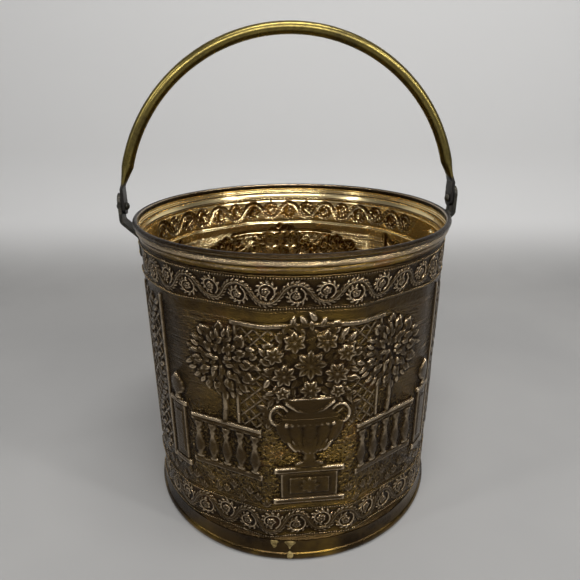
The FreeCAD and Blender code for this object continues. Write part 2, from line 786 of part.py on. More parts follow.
RIGHT, LEFT = 0.0, 180.0
FRONT, REAR = 0.0, 180.0
pieces = [
    make_wall("front_wall", FRONT),
    make_wall("rear_wall", REAR),
    make_rim_wire("rim_wire"),
    make_foot_ring("foot_ring"),
    make_bottom_plate("bottom_plate"),
    make_bail("bail"),
]
for side, turn in (("left", LEFT), ("right", RIGHT)):
    pieces.append(make_seam_strap(f"{side}_seam_strap", turn))
    pieces.append(make_lug(f"{side}_lug", turn))
    pieces.append(make_lug_rivets(f"{side}_lug_rivets", turn))
    pieces.append(make_pivot_rivet(f"{side}_pivot_rivet", turn))
doc.recompute()

for thing in doc.Objects:
    if {"Invalid", "Error"} & set(thing.State):
        raise RuntimeError(f"{thing.Label} failed: {thing.State}")
for piece in pieces:
    if piece.Shape.isNull() or not piece.Shape.isValid():
        raise RuntimeError(f"{piece.Label} has no valid shape")

os.makedirs("parts", exist_ok=True)
for piece in pieces:
    piece.Shape.exportStep(f"parts/{piece.Label}.step")
    box = piece.Shape.BoundBox
    print(f"{piece.Label}: {len(piece.Shape.Solids)} solid(s), {piece.Shape.Volume:.0f} mm3,"
          f" x {box.XMin:.1f} to {box.XMax:.1f}, y {box.YMin:.1f} to {box.YMax:.1f},"
          f" z {box.ZMin:.1f} to {box.ZMax:.1f}")
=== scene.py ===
# %% [markdown]
# # An embossed brass bucket with a swinging bail
# The bucket is stamped sheet brass: two half walls with a picture and scroll borders, a rolled rim,
# a spun foot ring, iron lugs and a bent tube for a bail. The solids of the construction come first,
# because every piece below is placed from them. Lengths are in millimetres unless a name ends in _m.

# %% Load the construction
import math
import bpy
import numpy as np
from mathutils import Matrix, Vector


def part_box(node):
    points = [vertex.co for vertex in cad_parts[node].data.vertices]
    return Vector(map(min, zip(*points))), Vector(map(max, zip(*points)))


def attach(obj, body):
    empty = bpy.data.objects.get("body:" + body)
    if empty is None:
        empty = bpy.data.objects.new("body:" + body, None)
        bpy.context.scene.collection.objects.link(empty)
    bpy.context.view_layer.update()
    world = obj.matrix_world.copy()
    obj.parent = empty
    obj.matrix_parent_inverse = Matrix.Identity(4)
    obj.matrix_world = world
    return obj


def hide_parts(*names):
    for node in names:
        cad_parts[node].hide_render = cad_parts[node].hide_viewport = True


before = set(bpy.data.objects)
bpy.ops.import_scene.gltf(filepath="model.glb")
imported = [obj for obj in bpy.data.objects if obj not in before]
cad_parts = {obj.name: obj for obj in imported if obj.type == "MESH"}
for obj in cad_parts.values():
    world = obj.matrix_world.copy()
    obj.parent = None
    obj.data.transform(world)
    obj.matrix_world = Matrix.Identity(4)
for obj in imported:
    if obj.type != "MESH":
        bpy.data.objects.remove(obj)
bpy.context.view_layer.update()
MM = 0.001
bucket_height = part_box("front_wall")[1][2] / MM
scene = bpy.context.scene
print("nodes:", sorted(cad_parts), "height", round(bucket_height, 1), "mm")

# %% [markdown]
# ## Camera
# The photograph was taken from a little above the rim, close to the bucket, which is why the upright
# walls lean together towards the floor. A camera can be pushed about until the picture looks right, but
# four measures settle it: how far away it stands, how high, how much it looks down, and how wide its lens
# is. The bail's axis is turned a few degrees from the picture, so the camera is turned as much.

# %% Place the camera
camera_distance = 451.8
camera_height = 371.4
camera_aside = -2.0
camera_pitch = math.radians(21.48)
camera_roll = math.radians(-0.31)
bail_turn = math.radians(5.6)
image_width_px = 580
focal_length_px = 500.8
sensor_width = 36.0
nearest_seen_m = 0.01

camera_data = bpy.data.cameras.new("photo_camera")
camera_data.sensor_width = sensor_width
camera_data.lens = sensor_width * focal_length_px / image_width_px
camera_data.clip_start = nearest_seen_m
camera = bpy.data.objects.new("photo_camera", camera_data)
scene.collection.objects.link(camera)
stand = Matrix.Rotation(-bail_turn, 4, "Z")
aim = Matrix.Rotation(math.pi / 2 - camera_pitch, 4, "X") @ Matrix.Rotation(camera_roll, 4, "Z")
place = Matrix.Translation(Vector((camera_aside, -camera_distance, camera_height)) * MM)
camera.matrix_world = stand @ place @ aim
scene.camera = camera
print("lens", round(camera_data.lens, 2), "mm at", [round(c, 3) for c in camera.matrix_world.translation])

# %% [markdown]
# ## Writing shaders as sums
# A finish is a network of nodes. It could be wired node by node, but that is long and hard to read. So
# one small class wraps an output socket: sums and products on it add Math nodes, and add_node makes any
# other node from its type, its settings and what its sockets take.

# %% The shader helper
class Signal:
    """An output socket that can be added, subtracted and multiplied like a number."""

    def __init__(self, tree, socket):
        self.tree = tree
        self.socket = socket

    def math(self, operation, *others):
        inputs = dict(enumerate((self, *others)))
        return add_node(self.tree, "ShaderNodeMath", {"operation": operation}, inputs)

    def __add__(self, other):
        return self.math("ADD", other)

    def __sub__(self, other):
        return self.math("SUBTRACT", other)

    def __rsub__(self, other):
        return add_node(self.tree, "ShaderNodeMath", {"operation": "SUBTRACT"}, {0: other, 1: self})

    def __mul__(self, other):
        return self.math("MULTIPLY", other)

    __radd__ = __add__
    __rmul__ = __mul__

    def clamp(self):
        return add_node(self.tree, "ShaderNodeClamp", {}, {"Value": self})

    def ramp(self, low, high):
        """0 below low, 1 above high and a smooth rise between."""
        inputs = {"Value": self, "From Min": low, "From Max": high}
        return add_node(self.tree, "ShaderNodeMapRange", {"interpolation_type": "SMOOTHSTEP"}, inputs)


def add_node(tree, kind, settings, inputs, output=0):
    """Add a node, set it up, feed its sockets with values or links, and return one output."""
    node = tree.nodes.new(kind)
    for name, value in settings.items():
        setattr(node, name, value)
    for name, value in inputs.items():
        if isinstance(value, Signal):
            tree.links.new(value.socket, node.inputs[name])
        else:
            node.inputs[name].default_value = value
    return Signal(tree, node.outputs[output])

# %% [markdown]
# ## Words for every finish
# All finishes on the bucket are made of a few things: a place on the piece, noise, streaks, numbers that
# the mesh carries, and two colours mixed by a share. Each gets a short function with a plain name, so
# that a finish reads as a description. A Mix node keeps its colour sockets after those for numbers and
# vectors, and they share names, so they are picked by number.

# %% Places and noise
noise_middle = 0.5


def object_place(tree):
    """The point on the piece in metres, in the frame of the bucket."""
    return add_node(tree, "ShaderNodeTexCoord", {}, {}, output="Object")


def height_at(tree, place):
    """How high a point lies above the floor, in metres."""
    return add_node(tree, "ShaderNodeSeparateXYZ", {}, {"Vector": place}, output="Z")


def stretched(tree, place, scale):
    """The same point with its axes stretched, which draws noise out into streaks."""
    return add_node(tree, "ShaderNodeMapping", {}, {"Vector": place, "Scale": scale})


def noise(tree, place, scale, detail=4.0, roughness=0.55):
    """Cloudy noise at so many patches per metre."""
    inputs = {"Vector": place, "Scale": scale, "Detail": detail, "Roughness": roughness}
    return add_node(tree, "ShaderNodeTexNoise", {}, inputs)


def attribute(tree, name):
    """A number that the mesh carries at each point."""
    return add_node(tree, "ShaderNodeAttribute", {"attribute_name": name}, {}, output="Fac")

# %% Colours and bumps
mix_first, mix_second, mix_result = 6, 7, 2


def blend_colours(tree, share, first, second):
    """Mix two colours, each a plain colour or a signal."""
    def colour(value):
        return value if isinstance(value, Signal) else (*value, 1.0)
    inputs = {"Factor": share, mix_first: colour(first), mix_second: colour(second)}
    return add_node(tree, "ShaderNodeMix", {"data_type": "RGBA"}, inputs, output=mix_result)


def bump(tree, height, depth_m):
    """Fine surface detail that is too small to model."""
    return add_node(tree, "ShaderNodeBump", {}, {"Height": height, "Distance": depth_m})

# %% Make a finish
def new_finish(name, build, **constants):
    """A material: build gives what varies over the surface, constants what doesn't."""
    material = bpy.data.materials.new(name)
    material.use_nodes = True
    tree = material.node_tree
    shader = tree.nodes["Principled BSDF"]
    for socket, value in constants.items():
        shader.inputs[socket.title()].default_value = value
    for socket, signal in build(tree).items():
        tree.links.new(signal.socket, shader.inputs[socket])
    print("finish", name, "with", len(tree.nodes), "nodes")
    return material

# %% [markdown]
# ## Dark brass outside
# The outside has gone dark: brown-black patina sits in every hollow, and only the raised edges, worn for
# years, still show metal; they are also painted pale, a painted highlight. It could be painted on by hand,
# but it follows the shape, so the shape drives it. The mesh carries five numbers at each point: how far it
# stands proud of its surroundings (edge), how deep it lies among them (hollow), how much yellow brass and
# painted sheen shows (golden), and where the sky of the picture is streaked and its ground stippled. Noise
# of three sizes breaks the edges of all that.

# %% Dark patina
glint_brass = (0.86, 0.68, 0.46)
golden_brass = (0.31, 0.192, 0.038)
brown_patina = (0.064, 0.040, 0.016)
black_patina = (0.011, 0.0055, 0.0022)
copper_blush = (0.26, 0.105, 0.040)
most_dirt, most_blush, most_wear_and_glint = 0.9, 0.55, 0.60


def patina_signals(tree, edge, hollow, golden, texture):
    """Colour, roughness, metal and fine bumps of brass that has gone dark."""
    place = object_place(tree)
    clouds = noise(tree, place, scale=16.0, detail=6.0)
    mottle = noise(tree, place, scale=110.0, detail=6.0, roughness=0.68)
    grit = noise(tree, place, scale=1100.0, detail=3.0)
    uneven = mottle - noise_middle
    clear = (clouds * 0.70 + golden * 0.80 + mottle * 0.45).ramp(0.62, 1.30)
    ground = blend_colours(tree, clear, brown_patina, golden_brass)
    dirt = (hollow + uneven * 0.5).ramp(0.06, 0.55)
    dirty = blend_colours(tree, dirt * most_dirt, ground, black_patina)
    blush = noise(tree, place, scale=34.0).ramp(0.56, 0.68) * clear
    warm = blend_colours(tree, blush * most_blush, dirty, copper_blush)
    # Raised edges are worn bright and are also painted pale, a painted highlight in glint_brass.
    wear_and_glint = (edge + uneven * 0.25).ramp(0.13, 0.58)
    return {
        "Base Color": blend_colours(tree, wear_and_glint * most_wear_and_glint, warm, glint_brass),
        "Roughness": 0.10 + grit * 0.09 + dirt * 0.22 + clouds * 0.05,
        "Metallic": (1.0 - dirt * 0.06).clamp(),
        "Normal": bump(tree, grit * 0.25 + mottle * 0.35 + texture, depth_m=0.0006),
    }

# %% The embossed wall
sky_stretch = (1.0, 1.0, 16.0)


def embossed_outside(tree):
    """The wall: streaks in the sky and stippling on the ground of the picture."""
    place = object_place(tree)
    streaks = noise(tree, stretched(tree, place, sky_stretch), scale=42.0, detail=5.0, roughness=0.6)
    stipple = noise(tree, place, scale=420.0, detail=2.0, roughness=0.5)
    specks = noise(tree, place, scale=340.0, detail=4.0, roughness=0.6)
    lines = (streaks - noise_middle) * attribute(tree, "streak") * 5.5
    dots = (stipple - noise_middle) * attribute(tree, "stipple") * 5.0
    worn = (specks - noise_middle) * 1.6
    # Crests of streaks and stipple and the specks are painted lighter, as wear and a painted highlight;
    # troughs darker with patina.
    hollow = attribute(tree, "hollow") - lines * 0.50 - dots * 0.60
    edge = attribute(tree, "edge") + (lines + dots) * 0.32 + worn * 0.20
    return patina_signals(tree, edge, hollow, attribute(tree, "golden"), lines + dots + worn)


outside_finish = new_finish("dark_embossed_brass", embossed_outside)

# %% [markdown]
# ## Clear brass inside
# Nobody rubs the inside of a bucket, and this one is still clear yellow brass, with tarnish in faint
# streaks and painted shade along the lines of the stamping. It could have the finish of the outside in
# lighter colours, but there the hollows are dark, and here every line is. So it reads how much each point
# differs from its surroundings, up or down, and paints shade there.

# %% Clear brass for the inside
inside_gold = (0.93, 0.745, 0.400)
inside_shade = (0.080, 0.034, 0.004)
inside_stretch = (1.0, 1.0, 22.0)


def clear_brass(tree):
    place = object_place(tree)
    clouds = noise(tree, place, scale=22.0, detail=5.0)
    streaks = noise(tree, stretched(tree, place, inside_stretch), scale=26.0)
    lines = attribute(tree, "edge").math("ABSOLUTE")
    sky = (streaks - noise_middle) * attribute(tree, "streak")
    # Every stamped line, raised or sunk, darkens the brass as painted shade; clouds and streaks add tarnish.
    darkening = (clouds * 0.6 + streaks * 0.3 + lines * 1.5 + sky * 1.8).ramp(0.53, 0.80)
    return {
        "Base Color": blend_colours(tree, darkening, inside_gold, inside_shade),
        "Roughness": 0.16 + streaks * 0.10 + darkening * 0.12,
        "Normal": bump(tree, streaks * 0.1 + sky * 2.0, depth_m=0.0008),
    }


inside_finish = new_finish("clear_inside_brass", clear_brass, metallic=1.0)

# %% [markdown]
# ## The dusty bottom
# The bottom plate is the same brass under a film of ash, scratched by what was tipped out. Loose dust
# could be modelled in grains, but from above it is only a duller, rougher colour, so noise gives it.

# %% Dusty brass for the bottom plate
bottom_gold = (0.30, 0.235, 0.095)
bottom_dust = (0.13, 0.105, 0.060)
scratch_stretch = (1.0, 9.0, 1.0)


def dusty_brass(tree):
    place = object_place(tree)
    clouds = noise(tree, place, scale=18.0, detail=6.0)
    scratches = noise(tree, stretched(tree, place, scratch_stretch), scale=40.0, detail=5.0)
    dust = (clouds * 0.7 + scratches * 0.4).ramp(0.35, 0.75)
    return {
        "Base Color": blend_colours(tree, dust, bottom_gold, bottom_dust),
        "Roughness": 0.40 + dust * 0.30,
        "Normal": bump(tree, scratches, depth_m=0.0002),
    }


bottom_finish = new_finish("dusty_bottom_brass", dusty_brass, metallic=0.9)

# %% [markdown]
# ## The bail's brass
# Hands have kept the bail glossy, and it is a greener, older brass than the wall. Its two flattened ends
# are nearly black. They could be pieces of their own, but the tube runs through, so the height above the
# floor tells the dark ends from the rest, with a ragged line between.

# %% Handled brass for the bail
bail_gold = (0.265, 0.205, 0.058)
bail_brown = (0.060, 0.046, 0.022)
crimp_dark = (0.040, 0.037, 0.034)
crimp_low_m = 0.2975
crimp_high_m = 0.3020
crimp_ragged_m = 0.004


def handled_brass(tree):
    place = object_place(tree)
    clouds = noise(tree, place, scale=30.0, detail=6.0)
    spots = noise(tree, place, scale=240.0, detail=4.0, roughness=0.7)
    darkening = (clouds * 0.75 + spots * 0.45).ramp(0.42, 0.95)
    ragged = height_at(tree, place) + (spots - noise_middle) * crimp_ragged_m
    crimped = 1 - ragged.ramp(crimp_low_m, crimp_high_m)
    brass = blend_colours(tree, darkening, bail_gold, bail_brown)
    return {
        "Base Color": blend_colours(tree, crimped, brass, crimp_dark),
        "Roughness": 0.27 + darkening * 0.12 + crimped * 0.12,
        "Normal": bump(tree, spots, depth_m=0.00003),
    }


bail_finish = new_finish("handled_brass", handled_brass, metallic=1.0)

# %% [markdown]
# ## Iron
# The lugs, their pivots and the wire in the rim are iron: dark scale, a little bare metal where things
# have knocked against it, and rust in patches. Rust isn't metal, so the finish is less metallic there.
# Three noises of different sizes are enough for pieces this small.

# %% Forged iron
iron_dark = (0.035, 0.033, 0.028)
iron_worn = (0.20, 0.18, 0.135)
rust_brown = (0.085, 0.045, 0.025)
most_rust = 0.7


def forged_iron(tree):
    place = object_place(tree)
    patches = noise(tree, place, scale=160.0, detail=6.0, roughness=0.65)
    grain = noise(tree, place, scale=900.0)
    worn = (patches * 0.8 + grain * 0.4).ramp(0.55, 0.85)
    rust = noise(tree, place, scale=70.0, detail=5.0).ramp(0.56, 0.74)
    iron = blend_colours(tree, worn, iron_dark, iron_worn)
    return {
        "Base Color": blend_colours(tree, rust * most_rust, iron, rust_brown),
        "Roughness": 0.42 + rust * 0.3 + grain * 0.12,
        "Metallic": (0.92 - rust * 0.6).clamp(),
        "Normal": bump(tree, patches * 0.6 + grain * 0.4, depth_m=0.0003),
    }


iron_finish = new_finish("forged_iron", forged_iron)

# %% [markdown]
# ## The spun foot
# The foot ring has the patina of the wall but no embossing. Its wear could be worked out from its shape,
# as on the wall, but a plain ring shows little of that. Here it follows clouds and fine scratches that
# run round, and the proud bead is brighter than the cove above it: a painted highlight on the bead.

# %% Plain brass moulding
bead_end_m = 0.0066
cove_start_m = 0.0086
turning_stretch = (1.0, 1.0, 14.0)


def plain_moulding(tree):
    place = object_place(tree)
    clouds = noise(tree, place, scale=26.0, detail=5.0)
    scratches = noise(tree, stretched(tree, place, turning_stretch), scale=60.0, detail=5.0)
    specks = noise(tree, place, scale=420.0, detail=4.0, roughness=0.7)
    # cove is 0 on the bead and 1 above it; the bead gets a painted highlight, the cove is darker.
    cove = height_at(tree, place).ramp(bead_end_m, cove_start_m)
    edge = (specks * 0.6 + scratches * 0.5).ramp(0.58, 0.85) * 0.35 * (1.2 - cove)
    hollow = (1 - clouds).ramp(0.40, 0.66) * 0.34 + cove * 0.12
    golden = clouds.ramp(0.36, 0.74) * 0.60 * (1 - cove * 0.45)
    return patina_signals(tree, edge, hollow, golden, scratches * 0.15 + specks * 0.3)


moulding_finish = new_finish("plain_brass_moulding", plain_moulding)

# %% [markdown]
# ## Drawing in relief
# A stamped sheet is pushed out from behind by a die, so a drawing on it is a height at each point of the
# sheet. It could be sculpted, but a die cutter works with a few strokes that repeat, and so do the
# classes below. They keep the height for a grid of points, along (round the bucket) and up. The same
# height later moves the outer and the inner face, so the inside shows the drawing in reverse.

# %% A grid of heights, with bosses and lines
line_overlap = 0.4


def rounded(across):
    """The height of a half-round section at a share of its half width."""
    return np.sqrt(np.clip(1 - across ** 2, 0, 1))


class Relief:
    """The height of a drawing over a grid of points."""

    def __init__(self, along, up):
        self.along_line = along
        self.up_line = up
        self.along, self.up = np.meshgrid(along, up)
        self.height = np.zeros_like(self.along)

    def near(self, along, up, reach):
        """The part of the grid within reach of a point."""
        columns = slice(*np.searchsorted(self.along_line, (along - reach, along + reach)))
        rows = slice(*np.searchsorted(self.up_line, (up - reach, up + reach)))
        return rows, columns

    def lift(self, part, height):
        """Raise a part of the grid wherever the new form is the higher one."""
        self.height[part] = np.maximum(self.height[part], height)

    def dome(self, along, up, radius, height, base=0.0):
        """A round boss."""
        part = self.near(along, up, radius)
        away = np.hypot(self.along[part] - along, self.up[part] - up) / radius
        self.lift(part, np.where(away < 1, base + height * rounded(away), 0))

    def line(self, points, half_width, height, base=0.0, taper=1.0):
        """A rounded line through points, which may narrow to a share of its width at the end."""
        points = np.asarray(points, float)
        steps = np.hypot(*np.diff(points, axis=0).T)
        travelled = np.concatenate(([0], np.cumsum(steps)))
        count = max(2, int(travelled[-1] / (half_width * line_overlap)))
        for share in np.linspace(0, 1, count):
            along = np.interp(share * travelled[-1], travelled, points[:, 0])
            up = np.interp(share * travelled[-1], travelled, points[:, 1])
            self.dome(along, up, half_width * (1 + (taper - 1) * share), height, base)

# %% Leaves and flowers
leaf_reach = 0.62
leaf_belly = 0.8
leaf_point = 0.85
leaf_vein = 0.35
vein_share = 0.22
petal_share = 0.92
petal_vein = 0.45
button_share = 0.30
button_rise = 1.15
least_half = 1e-6


class LeafyRelief(Relief):
    """Adds the strokes for plants."""

    def leaf(self, along, up, turn, length, half_width, height, base=0.0, vein=leaf_vein):
        """A pointed leaf that starts at a point and runs along a direction."""
        middle = (along + math.cos(turn) * length / 2, up + math.sin(turn) * length / 2)
        part = self.near(*middle, length * leaf_reach + half_width)
        east = self.along[part] - along
        north = self.up[part] - up
        run = (east * math.cos(turn) + north * math.sin(turn)) / length
        side = north * math.cos(turn) - east * math.sin(turn)
        half = half_width * np.sin(np.pi * np.clip(run, 0, 1) ** leaf_belly) ** leaf_point
        inside = (run > 0) & (run < 1) & (np.abs(side) < half)
        crown = rounded(side / np.maximum(half, least_half))
        groove = 1 - vein * np.exp(-(side / (half_width * vein_share)) ** 2)
        self.lift(part, np.where(inside, base + height * crown * groove, 0))

    def flower(self, along, up, radius, petals, height, base=0.0, turn=0.0):
        """A ring of petals round a button."""
        half_width = radius * math.sin(math.pi / petals) * petal_share
        for petal in range(petals):
            direction = turn + 2 * math.pi * petal / petals
            self.leaf(along, up, direction, radius, half_width, height, base, petal_vein)
        self.dome(along, up, radius * button_share, height * button_rise, base)

# %% Turned forms, slabs and lattices
flute_depth = 0.20
slab_soft = 0.8


class DieRelief(LeafyRelief):
    """Adds the strokes for built things."""

    def turned(self, middle, outline, height, base=0.0, flutes=0):
        """A form turned on a lathe, seen from the side: outline is (up, half width) from the foot."""
        ups, halves = np.array(outline, float).T
        half = np.interp(self.up, ups, halves, left=0, right=0)
        across = (self.along - middle) / np.maximum(half, least_half)
        inside = (np.abs(across) < 1) & (half > 0)
        crown = rounded(across)
        if flutes:
            ribs = np.abs(np.cos(flutes * np.arcsin(np.clip(across, -1, 1))))
            crown = crown * (1 - flute_depth + flute_depth * ribs)
        self.lift(..., np.where(inside, base + height * crown, 0))

    def slab(self, middle, half_width, low, high, height):
        """A flat raised block with softened edges."""
        left = middle - half_width
        right = middle + half_width
        inset = np.minimum.reduce([self.along - left, right - self.along, self.up - low, high - self.up])
        self.lift(..., height * np.clip(inset / slab_soft, 0, 1))

    def lattice(self, left, right, low, high, pitch, half_width, height):
        """Strips that cross on the slant."""
        here = (self.along > left) & (self.along < right) & (self.up > low) & (self.up < high)
        for lean in (-1, 1):
            across = np.abs((self.along + lean * self.up) % pitch - pitch / 2) / math.sqrt(2)
            strips = here & (across < half_width)
            self.lift(..., np.where(strips, height * rounded(across / half_width), 0))


trial = DieRelief(np.linspace(-10, 10, 41), np.linspace(-10, 10, 41))
trial.flower(0, 0, radius=8, petals=5, height=1)
print("a trial flower covers", int((trial.height > 0).sum()), "of", trial.height.size, "points")

# %% [markdown]
# ## The two scroll borders
# Above and below the picture runs an old border pattern: a wavy stem set with leaves and, in each bay, a
# tendril that rolls up round a flower. One bay could be drawn and copied, but then its ends have to meet.
# Here one wave is the stem from end to end, and a loop hangs the tendrils in it, each the mirror of the
# one before. The sizes are shares of the border's height, so both borders can use them.

# %% Draw the stem
points_per_bay = 60
stem_lean = 0.04
stem_swing = 0.40
stroke = 0.040
stem_height = 1.35
stem_leaf_every = 7
stem_leaf_splay = 0.42
stem_leaf_length = 0.27
stem_leaf_half = 0.058
stem_leaf_height = 1.25


def draw_stem(relief, middle, tall, half_span, bays):
    """A wave from minus to plus half_span, with a pair of leaves every few points."""
    travel = np.linspace(0, bays, bays * points_per_bay + 1)
    pitch = 2 * half_span / bays
    along = -half_span + pitch * (travel + stem_lean * np.sin(2 * np.pi * travel))
    stem = np.column_stack((along, middle + stem_swing * tall * np.cos(np.pi * travel)))
    heading = np.arctan2(*np.gradient(stem, axis=0).T[::-1])
    relief.line(stem, stroke * tall, stem_height)
    for step in range(0, len(stem), stem_leaf_every):
        for way in (-1, 1):
            turn = heading[step] + way * stem_leaf_splay
            relief.leaf(*stem[step], turn, tall * stem_leaf_length, tall * stem_leaf_half, stem_leaf_height)


print("a bay has about", round(2 * points_per_bay / stem_leaf_every), "leaves on its stem")

# %% Draw a tendril
roll_half_turns = (0.34, -1.55)
roll_reach = (0.36, 0.20)
roll_points = 46
roll_height = 1.3
roll_taper = 0.8
roll_drop = 0.10
roll_leaf_steps = range(5, 42, 4)
roll_leaf_lean = 0.95
roll_leaf_length = 0.21
roll_leaf_half = 0.056
roll_leaf_height = 1.2
bloom_radius = 0.185
bloom_petals = 5
bloom_turn = 0.4
seed_radius = 0.07


def draw_tendril(relief, along, up, side, tall, flower_turn):
    """A rolled-up tendril with leaves on its back and a flower in its middle."""
    curl = np.linspace(*roll_half_turns, roll_points) * math.pi
    reach = np.linspace(*roll_reach, roll_points) * tall
    roll = np.column_stack((along + reach * np.cos(curl), up + side * reach * np.sin(curl)))
    relief.line(roll, stroke * tall, roll_height, taper=roll_taper)
    for step in roll_leaf_steps:
        turn = side * (curl[step] - roll_leaf_lean)
        relief.leaf(*roll[step], turn, tall * roll_leaf_length, tall * roll_leaf_half, roll_leaf_height)
    relief.flower(along, up, tall * bloom_radius, bloom_petals, height=1.0, base=0.5, turn=flower_turn)
    relief.dome(along, up, tall * seed_radius, height=0.9, base=0.9)


print("a tendril has", len(roll_leaf_steps), "leaves and a flower of", bloom_petals, "petals")

# %% Hang the tendrils in the stem
def draw_scroll_border(relief, low, high, half_span, bays):
    """A leafy scroll between two heights."""
    tall = high - low
    middle = (low + high) / 2
    pitch = 2 * half_span / bays
    draw_stem(relief, middle, tall, half_span, bays)
    for bay in range(1, bays):
        side = 1 if bay % 2 == 0 else -1
        up = middle - side * tall * roll_drop
        draw_tendril(relief, -half_span + bay * pitch, up, side, tall, bloom_turn + bay)

# %% [markdown]
# ## The picture: two trees
# Between the borders the sheet carries a picture, the same in front and behind. Here it is a garden
# court, and its trees stand in the middle of the two outer flats. A crown could be scattered at random,
# but then leaves pile up and leave holes. Turned on by the golden angle each time, as the seeds of a
# sunflower are, they lie evenly, and slow waves keep them from looking ruled.

# %% Draw a tree
wall_radius = 135.0
crease_step = math.radians(30.0)
flat_middle = crease_step * wall_radius
golden_angle = math.pi * (3 - math.sqrt(5))
tree_trunk = ((0, 130), (1.5, 144), (-1, 184))
crown_up = 184
crown_radius = 27
crown_leaves = 150
crown_margin = 2
crown_sway, crown_sway_beat = 0.9, 1.7
crown_base, crown_swell = 0.5, 1.1
crown_ripple, crown_ripple_beat = 0.35, 2.9


def spread_over_disc(count, radius):
    """Even places over a disc, each as its number, its distance out and its direction."""
    for number in range(count):
        yield number, radius * math.sqrt((number + 0.5) / count), number * golden_angle


def draw_tree(relief, along):
    """A slim bent trunk, two branches and a round crown."""
    trunk = [(along + aside, up) for aside, up in tree_trunk]
    relief.line(trunk, half_width=2.8, height=1.6, taper=0.7)
    fork = (along, crown_up - crown_radius)
    for branch in (-1, 1):
        tip = (along + branch * crown_radius / 2, crown_up)
        relief.line([fork, tip], half_width=1.4, height=1.3, taper=0.5)
    relief.dome(along, crown_up, crown_radius + crown_margin, height=1.2)
    for number, out, turn in spread_over_disc(crown_leaves, crown_radius):
        root = (along + out * math.cos(turn), crown_up + out * math.sin(turn))
        lean = turn + crown_sway * math.sin(number * crown_sway_beat)
        base = crown_base + crown_swell * (1 - (out / crown_radius) ** 2)
        base = base + crown_ripple * math.sin(number * crown_ripple_beat)
        relief.leaf(*root, lean, length=7.6, half_width=2.1, height=0.8, base=base)


flat_width = 2 * wall_radius * math.sin(crease_step / 2)
print("flats", round(flat_width, 1), "mm wide, trees", round(flat_middle, 1), "mm from the middle")

# %% [markdown]
# ## The picture: the urn
# A fluted urn on a plinth stands in the middle. A plinth is a pile of blocks and an urn is turned on a
# lathe, so the drawing takes a list of blocks and the urn's outline in three turned parts. Leaves on the
# bowl, a string of bosses, a swag and two handles are laid over them.

# %% Draw the plinth and the urn
plinth_blocks = ((30, 57, 63, 1.9), (24, 63, 88, 1.5), (17, 67, 84, 2.1), (29, 88, 94, 2.2))
rosette_up = 75.5
urn_foot = ((94, 13), (97, 12), (100, 6), (105, 5), (108, 7))
urn_bowl = ((107, 6), (112, 15), (119, 22), (127, 26), (133, 27))
urn_neck = ((133, 27.5), (136, 27.5), (136.2, 25), (143, 20), (149, 17), (152, 20), (156, 23), (158, 23))
urn_swag = ((-18, 154), (-10, 147.5), (0, 145), (10, 147.5), (18, 154))
bowl_foot = 109
boss_up = 134.7
boss_pitch = 4.6
handle_along, handle_up = 24, 143
handle_wide, handle_tall = 7, 8.5
handle_turns = np.linspace(-1.2, 2.6, 24)
bowl_leaf_pitch = 2.6
bowl_leaf_splay = 0.16
bowl_leaf_length = 17


def draw_urn(relief):
    for half_width, low, high, height in plinth_blocks:
        relief.slab(0, half_width, low, high, height)
    relief.flower(0, rosette_up, radius=8.0, petals=8, height=0.9, base=2.0)
    relief.turned(0, urn_foot, height=2.2, base=0.3)
    relief.turned(0, urn_bowl, height=2.6, base=0.4, flutes=7)
    relief.turned(0, urn_neck, height=2.5, base=0.4)
    relief.line(urn_swag, half_width=1.3, height=0.9, base=2.2)
    for side in (-1, 1):
        out = side * (handle_along + handle_wide * np.cos(handle_turns))
        handle = np.column_stack((out, handle_up + handle_tall * np.sin(handle_turns)))
        relief.line(handle, half_width=1.5, height=1.9)
    for number in range(-4, 5):
        relief.dome(number * boss_pitch, boss_up, radius=1.9, height=0.8, base=2.4)
        turn = math.pi / 2 - number * bowl_leaf_splay
        root = (number * bowl_leaf_pitch, bowl_foot)
        relief.leaf(*root, turn, bowl_leaf_length - abs(number), half_width=1.7, height=0.8, base=2.3)


print("urn stands from", urn_foot[0][0], "to", urn_neck[-1][0], "mm above the floor")

# %% [markdown]
# ## The picture: the bouquet
# The urn is full of flowers. Each bloom has its own place, size and number of petals, because a bouquet
# on a rule looks like wallpaper. The leaves behind them lie evenly over a disc as in the trees, five more
# ring each bloom, and a spray hangs down on either side.

# %% Fill the urn
bouquet_up = 187
bouquet_radius = 35
bouquet_leaves = 90
bouquet_swell = 31
bouquet_sway, bouquet_sway_beat = 0.8, 1.9
blooms = (
    (0, 186, 12.5, 8), (-20, 178, 9.5, 7), (20, 178, 9.5, 7), (-12, 205, 9, 6), (12, 205, 9, 6),
    (-27, 195, 7.5, 6), (27, 195, 7.5, 6), (0, 165, 8.5, 6), (-21, 163, 6, 5), (21, 163, 6, 5),
)
ring_leaves = 5
ring_step = 1.2566
ring_twist = 0.1
ring_reach = 0.7
ring_leaf_half = 0.28
spray = ((18, 158), (29, 159), (33, 150), (31, 140))
spray_turns = {1: (-1.2, 0.2), -1: (-1.9, 2.9)}


